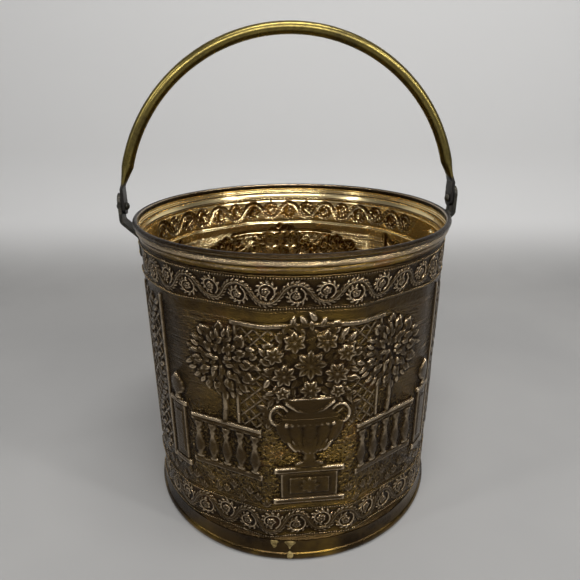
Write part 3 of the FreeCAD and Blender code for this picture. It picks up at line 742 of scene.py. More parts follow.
def draw_bouquet(relief):
    relief.dome(0, bouquet_up, bouquet_swell, height=1.2)
    for number, out, turn in spread_over_disc(bouquet_leaves, bouquet_radius):
        root = (out * math.cos(turn), bouquet_up + out * math.sin(turn))
        lean = turn + bouquet_sway * math.sin(number * bouquet_sway_beat)
        relief.leaf(*root, lean, length=8.5, half_width=2.3, height=0.9, base=0.75)
    for along, up, radius, petals in blooms:
        for leaf in range(ring_leaves):
            turn = leaf * ring_step + along * ring_twist
            out = radius * ring_reach
            root = (along + out * math.cos(turn), up + out * math.sin(turn))
            relief.leaf(*root, turn, radius, radius * ring_leaf_half, height=1.2, base=0.3)
        relief.flower(along, up, radius, petals, height=1.6, base=1.1, turn=along)
    for side, (down, out) in spray_turns.items():
        stalk = [(side * along, up) for along, up in spray]
        relief.line(stalk, half_width=1.1, height=1.2)
        for root in stalk[1:]:
            relief.leaf(*root, down, length=9, half_width=2.8, height=1.3)
            relief.leaf(*root, out, length=8, half_width=2.5, height=1.3)


print(len(blooms), "blooms over", bouquet_leaves, "leaves")

# %% [markdown]
# ## The picture: balustrades
# A balustrade closes the court on either side, with turned balusters between rails and a pier with a
# finial at its end. Balusters are alike, as a turner makes them, so one outline serves them all, and
# rails and piers are lists of blocks again.

# %% Draw the balustrades
rails = ((80, 86, 1.3), (122, 126, 1.2), (126, 130, 1.8))
rail_half = 33
baluster_pitch = 13.2
baluster = (
    (86, 4.2), (88, 4.2), (89, 2.4), (92, 3.0), (97, 5.2), (103, 4.4), (111, 2.2), (114, 3.2), (116, 2.4),
    (119, 4.2), (122, 4.2),
)
pier_middle = math.radians(50.0) * wall_radius
pier_blocks = ((11, 72, 78, 2.0), (8.5, 78, 132, 1.5), (5, 84, 126, 2.1), (11, 132, 137, 2.3))
finial = ((137, 5), (140, 3), (142, 3), (144, 7), (149, 9.5), (154, 8), (158, 4), (161, 1))


def draw_balustrade(relief, side):
    for low, high, height in rails:
        relief.slab(side * flat_middle, rail_half, low, high, height)
    for number in range(-2, 3):
        relief.turned(side * (flat_middle + number * baluster_pitch), baluster, height=1.5, base=0.2)
    for half_width, low, high, height in pier_blocks:
        relief.slab(side * pier_middle, half_width, low, high, height)
    relief.turned(side * pier_middle, finial, height=2.2, base=0.3)


print("piers", round(pier_middle, 1), "mm from the middle, balusters every", baluster_pitch, "mm")

# %% [markdown]
# ## The picture: trellis and grass
# At the edges a plant climbs a trellis, behind the urn stands a wider lattice in a frame, and tufts of
# grass fill the ground. All three repeat by a rule, so each is a loop: crossing strips, a wavy stem with
# a pair of leaves at every third point, and tufts of five blades that keep clear of the plinth.

# %% Draw the trellis with its plant
trellis_edges = (132, 172)
trellis_levels = (74, 222)
trellis_posts = (132, 171)
post_levels = (70, 226)
post_half = 2.2
plant_along = 150
plant_swing, plant_wave = 9, 13.0
plant_points = 60
plant_levels = (72, 214)
plant_leaf_splay = 1.05


def draw_trellis(relief, side):
    left, right = sorted(side * edge for edge in trellis_edges)
    relief.lattice(left, right, *trellis_levels, pitch=13.0, half_width=1.25, height=0.95)
    for post in trellis_posts:
        relief.slab(side * post, post_half, *post_levels, height=1.4)
    climb = np.linspace(*plant_levels, plant_points)
    plant = side * (plant_along + plant_swing * np.sin(climb / plant_wave))
    relief.line(np.column_stack((plant, climb)), half_width=1.3, height=1.5, taper=0.5)
    for number in range(2, plant_points, 3):
        for way in (-1, 1):
            turn = math.pi / 2 + way * plant_leaf_splay
            root = (plant[number], climb[number])
            relief.leaf(*root, turn, length=10.5, half_width=3.1, height=1.5, base=0.3)


print("trellis", trellis_edges[1] - trellis_edges[0], "mm wide")

# %% Draw the lattice in its frame
arbour_half = 56
arbour_levels = (130, 216)
arbour_post = 57.5
arbour_post_half = 1.8
arbour_post_levels = (130, 219)
lintel_half = 62
lintel_levels = (216, 220)


def draw_arbour(relief):
    relief.lattice(-arbour_half, arbour_half, *arbour_levels, pitch=10.5, half_width=0.85, height=0.7)
    for side in (-1, 1):
        relief.slab(side * arbour_post, arbour_post_half, *arbour_post_levels, height=1.1)
    relief.slab(0, lintel_half, *lintel_levels, height=1.3)


print("frame", 2 * lintel_half, "mm wide")

# %% Draw the grass
grass_start = -172
grass_pitch = 7.6
grass_tufts = 46
grass_foot = 58
grass_wave, grass_wave_beat = 7, 2.4
blade_splay = 0.34
blade_length, blade_shorter = 9, 1.4
clear_of_plinth = 33


def draw_grass(relief):
    for number in range(grass_tufts):
        along = grass_start + grass_pitch * number
        foot = grass_foot + grass_wave * math.sin(number * grass_wave_beat)
        if abs(along) < clear_of_plinth:
            continue
        for blade in range(-2, 3):
            turn = math.pi / 2 - blade * blade_splay
            length = blade_length - abs(blade) * blade_shorter
            relief.leaf(along, foot, turn, length, half_width=1.15, height=0.85, vein=0.0)


print("places for", grass_tufts, "tufts of grass")

# %% The whole court
def draw_garden_court(relief):
    draw_grass(relief)
    draw_arbour(relief)
    for side in (-1, 1):
        draw_tree(relief, side * flat_middle)
        draw_trellis(relief, side)
        draw_balustrade(relief, side)
    draw_urn(relief)
    draw_bouquet(relief)

# %% [markdown]
# ## The form of the wall
# Before any drawing, the wall is a tube that isn't quite round. Between soft upright creases the sheet
# has kept some of the flatness that it had when it was stamped, three flats to each half, and a low list
# runs round under each row of pearls. Creases could be modelled edge by edge, but as a formula they can
# be softened by taking the mean of a few nearby angles.

# %% The plain form
quarter = math.pi / 2
crease_soft = math.radians(2.5)
crease_samples = (-1, -0.6, -0.2, 0.2, 0.6, 1)
flats_begin = (19.0, 20.8)
flats_end = (232.4, 254.5)
string_levels = (21.6, 49.8, 231.3, 255.0)
list_height = 0.35
list_half = 1.6
list_shoulder = 0.7


def smooth_rise(low, high, value):
    """0 below low, 1 above high and a smooth rise between."""
    share = np.clip((value - low) / (high - low), 0, 1)
    return share * share * (3 - 2 * share)


def flat_depth(angle):
    """How far a flat lies inside the round."""
    within = np.mod(angle + crease_step / 2, crease_step) - crease_step / 2
    depth = (np.cos(crease_step / 2) / np.cos(within) - 1) * wall_radius
    return np.where(np.abs(angle) < 1.5 * crease_step, depth, 0.0)


def plain_form(angle, up):
    """The distance of the outer face from wall_radius before any drawing."""
    flat = sum(flat_depth(angle + crease_soft * step) for step in crease_samples) / len(crease_samples)
    reach = smooth_rise(*flats_begin, up) * (1 - smooth_rise(*flats_end, up))
    shoulder = list_half * list_shoulder
    lists = sum(1 - smooth_rise(shoulder, list_half, np.abs(up - level)) for level in string_levels)
    return lists * list_height + flat * reach


print("flats lie up to", round(-float(flat_depth(np.array(0.0))), 2), "mm inside the round")

# %% [markdown]
# ## What the finish needs to know
# Patina settles where the surface is low and wears off where it is high, and high edges also get a
# painted highlight, but low and high only mean something beside the surroundings. Blurring the drawing
# gives the surroundings, and the difference to it is the edge or the hollow. Blender can bake such a map,
# but worked out from the drawing it needs no image. Plain masks by height and angle add what the relief
# can't tell: painted shade on the ledge at the foot, the seam at the side, dirt between the scrolls, and
# the middle of the front, where more yellow brass shows and a painted sheen brightens it.

# %% Masks and blur
plain_side = math.radians(9.0)
fade_side = math.radians(13.0)
seam_line = math.radians(0.5)
sheet_levels = (1.2, 52.0, 228.8, 256.9)


def side_fade(angles):
    """Drawings stop short of the plain sides where the lugs are."""
    return 1 - smooth_rise(quarter - fade_side, quarter - plain_side, np.abs(angles))


def soften(field, points):
    """Spread a field over so many points."""
    margin = 3 * points
    kernel = np.exp(-0.5 * (np.arange(-margin, margin + 1) / points) ** 2)
    kernel /= kernel.sum()
    wide = np.pad(field, margin, mode="edge")
    for axis in (0, 1):
        wide = np.apply_along_axis(lambda line: np.convolve(line, kernel, mode="valid"), axis, wide)
    return wide


fade_degrees = [round(math.degrees(side)) for side in (fade_side, plain_side)]
print("the picture fades out between", fade_degrees, "degrees from the seams")

# %% The five numbers
edge_blur, hollow_blur = 2, 4
bare_heights = (0.05, 0.5)
form_heights = (0.6, 1.5)
picture_low, picture_high = sheet_levels[1] + 3, sheet_levels[2] - 8
sky_levels = (135.0, 160.0)
ground_levels = (130.0, 155.0)
ledge_levels = (20.2, 21.4)
upper_levels = (222.0, 232.0)
lower_half_levels = (60.0, 210.0)
above_border_levels = (50.0, 54.0)
picture_wear_levels = (70.0, 170.0)
border_beds = ((22.5, 49.0), (232.4, 254.0))
bed_soft = 1.0
string_bed = 0.5
front_sheen_degrees = 36.0


def surface_numbers(angles, ups, height):
    """The numbers for the finish at each point of a sheet."""
    def rise(low, high):
        return smooth_rise(low, high, ups)[:, None]

    sides = side_fade(angles)[None, :]
    bare = 1 - smooth_rise(*bare_heights, height)
    in_picture = ((ups > picture_low) & (ups < picture_high))[:, None]
    sky = rise(*sky_levels) * in_picture * bare * sides
    ground = (1 - rise(*ground_levels)) * in_picture * bare * sides
    forms = smooth_rise(*form_heights, height) * in_picture
    # The ledge at the top of the foot is painted darker: a painted shadow line.
    painted_ledge_shade = 1 - rise(*ledge_levels)
    seam = smooth_rise(quarter - seam_line, quarter, np.abs(angles))[None, :]
    strings = sum(1 - smooth_rise(string_bed, list_half, np.abs(ups - level)) for level in string_levels)
    beds = sum(rise(low, low + bed_soft) * (1 - rise(high - bed_soft, high)) for low, high in border_beds)
    hollow = (soften(height, hollow_blur) - height) * 0.9 + strings[:, None] * 0.5
    hollow = hollow + forms * 0.16 + painted_ledge_shade * 0.30 + seam + beds * bare * sides * 0.22
    # The middle of each half is more golden: more yellow brass there, and a painted sheen.
    front_brass_and_sheen = np.exp(-(np.degrees(angles)[None, :] / front_sheen_degrees) ** 2) * (1 - 0.6 * rise(*upper_levels))
    low_part = 1 - rise(*lower_half_levels)
    golden = front_brass_and_sheen * (0.54 - 0.12 * low_part) * (0.30 + 0.70 * bare) * (1 - painted_ledge_shade * 0.5)
    # How strongly, at each height, the edges show wear and a painted highlight, and the hollows patina.
    wear_and_glint = 1.15 - 0.15 * rise(*above_border_levels) + 0.08 * rise(*picture_wear_levels)
    wear_and_glint = wear_and_glint + 0.14 * rise(*upper_levels)
    edge = (height - soften(height, edge_blur)) * wear_and_glint
    hollow = hollow * np.sqrt(wear_and_glint)
    return {"edge": edge, "hollow": hollow, "golden": golden, "streak": sky, "stipple": ground}

# %% [markdown]
# ## From a drawing to a sheet
# Each half of the wall is made of closed sheets: an outer face, an inner face one gauge inside it, and
# edges between them. A flat grid could be bent and thickened with modifiers, but then the numbers of the
# finish would have to follow. Here every point is worked out. Below the upper border the inside is mostly
# in shade, so there the inner face has one point for every two outside.

# %% Make a mesh
def add_mesh(name, points, faces, materials, numbers, inner_faces=0):
    """A smooth mesh object with numbers at its points; the last faces take the second material."""
    mesh = bpy.data.meshes.new(name)
    mesh.from_pydata((np.asarray(points) * MM).tolist(), [], faces)
    for key, values in numbers.items():
        layer = mesh.attributes.new(key, "FLOAT", "POINT")
        layer.data.foreach_set("value", np.asarray(values, np.float32))
    for material in materials:
        mesh.materials.append(material)
    kinds = np.zeros(len(faces), np.int32)
    if inner_faces:
        kinds[-inner_faces:] = 1
    mesh.polygons.foreach_set("material_index", kinds)
    mesh.polygons.foreach_set("use_smooth", [len(face) in (3, 4) for face in faces])
    mesh.validate()
    piece = bpy.data.objects.new(name, mesh)
    scene.collection.objects.link(piece)
    triangles = sum(len(face) - 2 for face in faces)
    print(name, "of", triangles, "triangles")
    return piece

# %% Points and faces of a sheet
def round_points(radius, around, up, turn):
    """Points on the wall: angle 0 looks to the front before the turn."""
    direction = around - quarter + turn
    across = (radius * np.cos(direction)).ravel()
    deep = (radius * np.sin(direction)).ravel()
    return np.column_stack((across, deep, up.ravel()))


def grid_faces(numbers, flip):
    """The squares between the points of a grid."""
    corners = (numbers[:-1, :-1], numbers[:-1, 1:], numbers[1:, 1:], numbers[1:, :-1])
    quads = np.column_stack([corner.ravel() for corner in corners])
    return (quads[:, ::-1] if flip else quads).tolist()


def edge_faces(out_line, in_line, every, flip):
    """The faces that close one edge between the outer and the coarser inner face."""
    faces = []
    for step in range(len(in_line) - 1):
        rail = out_line[every * step:every * (step + 1) + 1]
        loop = [*rail[::-1], in_line[step], in_line[step + 1]]
        faces.append([int(point) for point in (loop[::-1] if flip else loop)])
    return faces

# %% Bend a sheet
sheet_gauge = 0.8


def bend_sheet(name, angles, ups, height, turn, every):
    """A closed sheet whose inner face has one point for every so many outside."""
    around, up = np.meshgrid(angles, ups)
    outer = wall_radius + plain_form(around, up) + height
    thin = (slice(None, None, every), slice(None, None, every))
    inner = (outer - sheet_gauge)[thin]
    outer_points = round_points(outer, around, up, turn)
    inner_points = round_points(inner, around[thin], up[thin], turn)
    outside = np.arange(outer.size).reshape(outer.shape)
    inside = outer.size + np.arange(inner.size).reshape(inner.shape)
    faces = grid_faces(outside, flip=False)
    faces += edge_faces(outside[0], inside[0], every, flip=False)
    faces += edge_faces(outside[-1], inside[-1], every, flip=True)
    faces += edge_faces(outside[:, 0], inside[:, 0], every, flip=True)
    faces += edge_faces(outside[:, -1], inside[:, -1], every, flip=False)
    back = grid_faces(inside, flip=True)
    numbers = {key: np.concatenate((value.ravel(), value[thin].ravel()))
               for key, value in surface_numbers(angles, ups, height).items()}
    points = np.vstack((outer_points, inner_points))
    return add_mesh(name, points, faces + back, [outside_finish, inside_finish], numbers, len(back))

# %% [markdown]
# ## The stamped walls
# Four sheets make up each half: the lower border, the picture in two parts, and the upper border. One
# sheet would do, but it would be heavy, and the borders need a finer grid because their stems are less
# than two millimetres wide. The borders meet the picture on plain lines, and its two parts share a row of
# points, so no joint shows. The back half is the front turned round, as two stampings from one die are.

# %% Make one border or one part of the picture
border_columns, picture_columns = 700, 560
border_step, picture_step = 0.5, 0.63
border_fade = math.radians(27.0)
border_bays = 17


def new_drawing(columns, low, high, step):
    """An empty drawing with an odd number of points each way, so that every second one ends at the edge."""
    angles = np.linspace(-quarter, quarter, columns + 1)
    ups = np.linspace(low, high, 2 * round((high - low) / step / 2) + 1)
    return angles, ups, DieRelief(angles * wall_radius, ups)


def make_border(low, high, scroll):
    angles, ups, relief = new_drawing(border_columns, low, high, border_step)
    draw_scroll_border(relief, *scroll, (quarter - fade_side) * wall_radius, border_bays)
    sides = 1 - smooth_rise(quarter - border_fade, quarter - plain_side, np.abs(angles))
    return angles, ups, relief.height * sides


def make_picture(low, high):
    angles, ups, relief = new_drawing(picture_columns, low, high, picture_step)
    draw_garden_court(relief)
    return angles, ups, relief.height * side_fade(angles)

# %% Draw all four
lower_scroll = (24.4, 47.4)
upper_scroll = (233.6, 252.6)
picture_split = 140.0
drawings = {
    "lower_border": make_border(sheet_levels[0], sheet_levels[1], lower_scroll),
    "lower_picture": make_picture(sheet_levels[1], picture_split),
    "upper_picture": make_picture(picture_split, sheet_levels[2]),
    "upper_border": make_border(sheet_levels[2], sheet_levels[3], upper_scroll),
}
for part, (angles, ups, height) in drawings.items():
    print(part, "drawn on", height.shape, "points, up to", round(float(height.max()), 2), "mm high")

# %% Bend both halves
halves = {"front": 0.0, "rear": math.pi}
wall_pieces = []
for half, turn in halves.items():
    for part, drawing in drawings.items():
        every = 1 if part == "upper_border" else 2
        wall_pieces.append(bend_sheet(f"{half}_{part}", *drawing, turn, every))

# %% [markdown]
# ## The rim
# Above the upper border the sheet is rolled into an ovolo, a groove, a half-round bulge and a neck, and
# then over a wire. It could be a profile with Blender's Screw modifier, but the finish wants numbers along
# the outline, so the outline is turned here. It follows the outer face up, round the curl and down the
# inner face, which closes the strip.

# %% Sizes of the rim
neck_outside = 136.0
neck_inside = neck_outside - sheet_gauge
curl_bore = 1.55
curl_outside = 2.35
curl_middle = (neck_outside + curl_bore, bucket_height - curl_outside)
curl_end = math.radians(-75.0)
bulge_radius = 2.5
neck_rise = 4.6
bulge_up = bucket_height - neck_rise - bulge_radius
bulge_top = bulge_up + bulge_radius
bulge_foot = bulge_up - bulge_radius
ovolo_low = 257.6
ovolo_high = 262.9
ovolo_step = 1.8
groove_out, groove_drop = 0.1, 0.15
neck_start = 0.5
print("rim from", ovolo_low, "to", round(bucket_height, 1), "mm above the floor")

# %% The outline of the rim
def arc(middle, radius, start, end, steps):
    turns = np.linspace(start, end, steps)
    return np.column_stack((middle[0] + radius * np.cos(turns), middle[1] + radius * np.sin(turns)))


def ovolo(offset, steps):
    """A quarter-round that steps outwards as it rises."""
    rise = np.linspace(0, 1, steps)
    reach = wall_radius + offset + ovolo_step * np.sin(rise * quarter)
    return np.column_stack((reach, ovolo_low + (ovolo_high - ovolo_low) * rise))


def rim_outline():
    """The outer and the inner face as points of radius and height."""
    bulge_middle = (neck_outside, bulge_up)
    outer = [
        [(wall_radius, sheet_levels[3])],
        ovolo(0.0, steps=10),
        [(neck_outside + groove_out, bulge_foot - groove_drop)],
        arc(bulge_middle, bulge_radius, -quarter, quarter, steps=15),
        [(neck_outside, bulge_top + neck_start)],
        arc(curl_middle, curl_bore, math.pi, curl_end, steps=14),
        arc(curl_middle, curl_outside, curl_end, math.pi, steps=20),
    ]
    inner = [
        [(neck_inside, bulge_top)],
        arc(bulge_middle, bulge_radius - sheet_gauge, quarter, -quarter, steps=11),
        [(neck_inside, bulge_foot)],
        ovolo(-sheet_gauge, steps=8)[::-1],
        [(wall_radius - sheet_gauge, sheet_levels[3])],
    ]
    return np.vstack(outer), np.vstack(inner)


rim_outer, rim_inner = rim_outline()
print("rim outline of", len(rim_outer), "points outside and", len(rim_inner), "inside")

# %% Where the rim is worn and where highlights and shade are painted
crest_begin, crest_run = 0.6, 1.4
ovolo_crest_up = 261.2
neck_groove_up = bulge_top + 1.0
lower_groove_up = bulge_foot - 0.2
inside_line_levels = (bulge_top + 0.6, ovolo_high, ovolo_low)
inner_lip_turn, outer_lip_turn = 2.45, 0.05
roll_start_turn = -0.05
roll_skin = 0.1
print("grooves", round(lower_groove_up, 1), "and", round(neck_groove_up, 1), "mm above the floor")


def bell(values, level, spread):
    """1 at a level, falling off softly on both sides."""
    return np.exp(-((values - level) / spread) ** 2)


def slope(values, level, spread):
    """1 at a level, falling straight to 0 on both sides."""
    return np.clip(1 - np.abs(values - level) / spread, 0, 1)

# %% Wear, painted highlights, painted shade and painted sheen on the rim
rim_columns = 241
rim_sheen_degrees = 50.0


def rim_numbers(line, angles):
    """Worn crests and lips with painted highlights, the ovolo's painted highlight and shade, dark grooves and
    roll, painted shade on inside lines, and yellow brass with a painted sheen on the mouldings in front.
    """
    reach, up = line.T
    outside = np.arange(len(line)) < len(rim_outer)
    mouldings = outside * (up < bulge_top) * (up > ovolo_low)
    # The crest of the bulge is worn and gets a painted highlight.
    crest = mouldings * np.clip((reach - neck_outside - crest_begin) / crest_run, 0, 1)
    # The ovolo gets a painted highlight along its crest and painted shade at its foot.
    ovolo_crest = mouldings * bell(up, ovolo_crest_up, spread=0.9)
    ovolo_foot = outside * bell(up, ovolo_low, spread=0.8)
    grooves = np.maximum(slope(up, neck_groove_up, spread=1.6), slope(up, lower_groove_up, spread=0.7))
    roll = np.arctan2(up - curl_middle[1], reach - curl_middle[0])
    from_wire = np.hypot(up - curl_middle[1], reach - curl_middle[0])
    on_roll = (from_wire > curl_outside - roll_skin) & (up > bulge_top)
    # Two thin painted highlights along the roll, where it is also worn.
    outer_lip = 0.6 * bell(roll, outer_lip_turn, spread=0.16)
    lips = on_roll * np.maximum(bell(roll, inner_lip_turn, spread=0.22), outer_lip)
    under_roll = on_roll * (roll < roll_start_turn)
    dark_roll = on_roll * (roll > roll_start_turn) * (0.40 - lips)
    # Lines of painted shade on the inner face at the mouldings' folds.
    inside_lines = sum(bell(up, level, spread=0.55) for level in inside_line_levels)
    edge = np.where(outside, crest * 0.46 + lips * 0.60 + ovolo_crest * 0.42, inside_lines * 0.30)
    dark = np.maximum.reduce([grooves * 0.6, dark_roll, ovolo_foot * 0.5])
    joint = np.isin(np.arange(rim_columns), (0, rim_columns - 1)) * 0.9
    # The mouldings in the middle of each half are more golden: yellow brass and a painted sheen.
    rim_front_sheen = bell(np.degrees(np.linspace(-quarter, quarter, rim_columns)), 0.0, rim_sheen_degrees)
    patches = 0.72 + 0.28 * np.sin(5.0 * angles + 0.6) * np.sin(11.0 * angles + 1.9)
    return {
        "edge": np.tile(edge, rim_columns),
        "hollow": np.maximum(joint[:, None], dark[None, :]).ravel(),
        "golden": np.outer((0.3 + 0.7 * rim_front_sheen) * patches, mouldings * 1.05 + under_roll * 0.8).ravel(),
        "streak": np.tile(mouldings * 0.45, rim_columns),
    }

# %% Turn the rim
def turn_rim(name, turn):
    """The outline turned through half a circle, with a flat end at each seam."""
    line = np.vstack((rim_outer, rim_inner))
    count = len(line)
    angles = np.linspace(-quarter, quarter, rim_columns) - quarter + turn
    points = np.vstack([
        np.column_stack((line[:, 0] * math.cos(angle), line[:, 0] * math.sin(angle), line[:, 1]))
        for angle in angles
    ])
    faces = []
    inner_faces = []
    for column in range(rim_columns - 1):
        near, far = column * count, (column + 1) * count
        for step in range(count):
            following = (step + 1) % count
            side = inner_faces if len(rim_outer) <= step < count - 1 else faces
            side.append([near + step, far + step, far + following, near + following])
    faces.append(list(range(count)))
    faces.append([(rim_columns - 1) * count + step for step in range(count)][::-1])
    finishes = [outside_finish, inside_finish]
    return add_mesh(name, points, faces + inner_faces, finishes, rim_numbers(line, angles), len(inner_faces))


for half, turn in halves.items():
    wall_pieces.append(turn_rim(f"{half}_rim", turn))

# %% [markdown]
# ## Pearl rows
# A row of small bosses edges each border. The die pushes them out with the rest, but they are finer than
# the grid of the sheets. Hundreds of alike pearls on a circle are work for Geometry Nodes: points on an
# arc, a small sphere of few faces on each, and the instances made real so that they export.

# %% Build the pearl tree
pearl_sides, pearl_rings = 8, 6
pearl_inputs = {
    "Ring Radius": "NodeSocketFloat", "Height": "NodeSocketFloat", "Pearl Radius": "NodeSocketFloat",
    "Start": "NodeSocketFloat", "Sweep": "NodeSocketFloat", "Count": "NodeSocketInt",
    "Finish": "NodeSocketMaterial",
}
pearl_tree = bpy.data.node_groups.new("pearl_row", "GeometryNodeTree")
pearl_tree.interface.new_socket("Geometry", in_out="OUTPUT", socket_type="NodeSocketGeometry")
pearl_sockets = {}
for name, kind in pearl_inputs.items():
    socket = pearl_tree.interface.new_socket(name, in_out="INPUT", socket_type=kind)
    pearl_sockets[name] = socket.identifier
group_input = pearl_tree.nodes.new("NodeGroupInput")
given = {name: Signal(pearl_tree, group_input.outputs[name]) for name in pearl_inputs}
print("pearl tree takes", list(pearl_sockets))

# %% Wire the pearl tree
ring = add_node(pearl_tree, "GeometryNodeCurveArc", {}, {
    "Resolution": given["Count"], "Radius": given["Ring Radius"],
    "Start Angle": given["Start"], "Sweep Angle": given["Sweep"],
})
level = add_node(pearl_tree, "ShaderNodeCombineXYZ", {}, {"Z": given["Height"]})
raised = add_node(pearl_tree, "GeometryNodeTransform", {}, {"Geometry": ring, "Translation": level})
spots = add_node(pearl_tree, "GeometryNodeCurveToPoints", {"mode": "EVALUATED"}, {"Curve": raised})
pearl = add_node(pearl_tree, "GeometryNodeMeshUVSphere", {}, {
    "Segments": pearl_sides, "Rings": pearl_rings, "Radius": given["Pearl Radius"],
})
smooth = add_node(pearl_tree, "GeometryNodeSetShadeSmooth", {}, {"Geometry": pearl})
placed = add_node(pearl_tree, "GeometryNodeInstanceOnPoints", {}, {"Points": spots, "Instance": smooth})
real = add_node(pearl_tree, "GeometryNodeRealizeInstances", {}, {"Geometry": placed})
dressed = add_node(pearl_tree, "GeometryNodeSetMaterial", {}, {"Geometry": real, "Material": given["Finish"]})
group_output = pearl_tree.nodes.new("NodeGroupOutput")
pearl_tree.links.new(dressed.socket, group_output.inputs["Geometry"])
print("pearl tree has", len(pearl_tree.nodes), "nodes")

# %% The pearls' finish
def rubbed_pearls(tree):
    """Patina with every pearl worn, some more than others."""
    place = object_place(tree)
    specks = noise(tree, place, scale=600.0, detail=2.0)
    hollow = noise(tree, place, scale=60.0).ramp(0.45, 0.7) * 0.3
    golden = noise(tree, place, scale=9.0) * 0.6
    return patina_signals(tree, 0.10 + specks * 0.35, hollow, golden, specks * 0.1)


pearl_finish = new_finish("rubbed_pearls", rubbed_pearls)

# %% Press pearls onto the wall
def press_onto_wall(mesh, level, turn):
    """Move pearls in or out by as much as the plain wall departs from the round."""
    points = np.empty(len(mesh.vertices) * 3)
    mesh.vertices.foreach_get("co", points)
    points = points.reshape(-1, 3)
    around = np.arctan2(points[:, 1], points[:, 0]) + quarter - turn
    around = np.mod(around + math.pi, 2 * math.pi) - math.pi
    seat = plain_form(around, np.full(len(points), level)) * MM
    reach = np.hypot(points[:, 0], points[:, 1])
    points[:, :2] *= ((reach + seat) / reach)[:, None]
    mesh.vertices.foreach_set("co", points.ravel())
    mesh.update()

# %% String the pearls
pearl_radius = 0.82
pearl_seat = 0.30
pearl_pitch = 2.1
pearl_sweep = math.pi - 2 * plain_side
pearl_count = round(pearl_sweep * wall_radius / pearl_pitch)


def string_pearls(name, level, turn):
    holder = bpy.data.objects.new(name, bpy.data.meshes.new(name))
    scene.collection.objects.link(holder)
    modifier = holder.modifiers.new("pearls", "NODES")
    modifier.node_group = pearl_tree
    values = {
        "Ring Radius": (wall_radius + pearl_seat) * MM, "Height": level * MM,
        "Pearl Radius": pearl_radius * MM, "Start": turn - math.pi + plain_side,
        "Sweep": pearl_sweep, "Count": pearl_count, "Finish": pearl_finish,
    }
    for key, value in values.items():
        modifier[pearl_sockets[key]] = value
    evaluated = holder.evaluated_get(bpy.context.evaluated_depsgraph_get())
    mesh = bpy.data.meshes.new_from_object(evaluated)
    holder.modifiers.remove(modifier)
    press_onto_wall(mesh, level, turn)
    holder.data = mesh
    print(name, "of", pearl_count, "pearls")
    return holder


pearl_pieces = []
for half, turn in halves.items():
    for row, level in enumerate(string_levels, start=1):
        pearl_pieces.append(string_pearls(f"{half}_pearls_{row}", level, turn))

# %% [markdown]
# ## Drips on the foot
# Solder ran down the foot ring below the front of the wall when the ring was sweated on, and it set in
# two drops. They could be flat patches of colour, but they stand proud and catch the light. So each is a
# small closed body that lies on the cove and the bead, as wide at each height as a short list says.

# %% The finish of the drips
drip_gold = (0.13, 0.088, 0.026)
drip_pale = (0.34, 0.255, 0.10)


def dull_solder(tree):
    mottle = noise(tree, object_place(tree), scale=500.0)
    return {
        "Base Color": blend_colours(tree, mottle.ramp(0.34, 0.60), drip_gold, drip_pale),
        "Roughness": 0.42 + mottle * 0.2,
        "Normal": bump(tree, mottle, depth_m=0.0003),
    }


drip_finish = new_finish("dull_solder", dull_solder, metallic=0.7)

# %% The face that they run down
skirt_top = 19.0
skirt_face = 135.7
bead_top = 7.4
bead_face = 137.2
bead_proud = 1.7
bead_curve = (bead_proud + bead_top ** 2 / (4 * bead_proud)) / 2


def foot_face(up):
    """The radius of the foot ring's outer face at a height: a hollow quarter above a round bead."""
    if up < bead_top:
        bow = math.sqrt(bead_curve ** 2 - (up - bead_top / 2) ** 2)
        return bead_face + bead_proud - bead_curve + bow
    drop = (skirt_top - up) / (skirt_top - bead_top)
    return skirt_face + (bead_face - skirt_face) * (1 - math.sqrt(1 - drop ** 2))


print("foot ring bulges to", round(foot_face(bead_top / 2), 2), "mm")

# %% One ring of a drip
drip_thick = 0.45
drip_full_half = 1.5
drip_lift = 0.05
drip_ragged = 0.14
drip_waves = 11
drip_far_side = 2.2
drip_sides = 16


def polar(radius, angle, up):
    return radius * math.cos(angle), radius * math.sin(angle), up


def drip_ring(angle, up, down, half):
    """One ring of a drip: an oval on the foot, with a ragged outline."""
    thick = drip_thick * min(half, drip_full_half) / drip_full_half
    points = []
    for step in range(drip_sides):
        turn = 2 * math.pi * step / drip_sides
        shift = 0 if math.cos(turn) > 0 else drip_far_side
        ragged = 1 + drip_ragged * math.sin(drip_waves * down + shift)
        direction = angle + half * ragged * math.cos(turn) / wall_radius
        points.append(polar(foot_face(up) + drip_lift + thick * math.sin(turn), direction, up))
    return points

# %% Let the drips run
drip_rings = 24
drip_top = 18.9
drips = (
    (-102.6, 10.8, (3.0, 3.7, 2.9, 2.1, 1.7, 0.7)),
    (-97.0, 2.2, (4.0, 4.5, 3.2, 1.7, 0.9, 0.8, 1.9, 2.8, 2.4, 0.9)),
)


def run_drip(name, angle, bottom, half_widths):
    """Rings from the top to the bottom of a drip, closed by a point at each end."""
    points = []
    faces = []
    spread = np.linspace(0, 1, len(half_widths))
    for ring in range(1, drip_rings):
        down = ring / drip_rings
        up = drip_top + (bottom - drip_top) * down
        points += drip_ring(angle, up, down, np.interp(down, spread, half_widths))
    first_end, last_end = len(points), len(points) + 1
    points += [polar(foot_face(up) + drip_lift, angle, up) for up in (drip_top, bottom)]
    last_ring = (drip_rings - 2) * drip_sides
    for start in range(0, last_ring, drip_sides):
        for step in range(drip_sides):
            here, there = start + step, start + (step + 1) % drip_sides
            faces.append((here, there, there + drip_sides, here + drip_sides))
    for step in range(drip_sides):
        beside = (step + 1) % drip_sides
        faces.append((first_end, beside, step))
        faces.append((last_end, last_ring + step, last_ring + beside))
    return add_mesh(name, points, faces, [drip_finish], {})


drip_pieces = []
for number, (degrees, bottom, half_widths) in enumerate(drips, start=1):
    drip_pieces.append(run_drip(f"drip_{number}", math.radians(degrees), bottom, half_widths))

# %% [markdown]
# ## Dress the carried-over solids
# The bail, lugs, rivets, straps, foot ring, wire and bottom plate have their real shape already, as they
# come from the construction. They could be modelled again, but all that they lack is a finish.

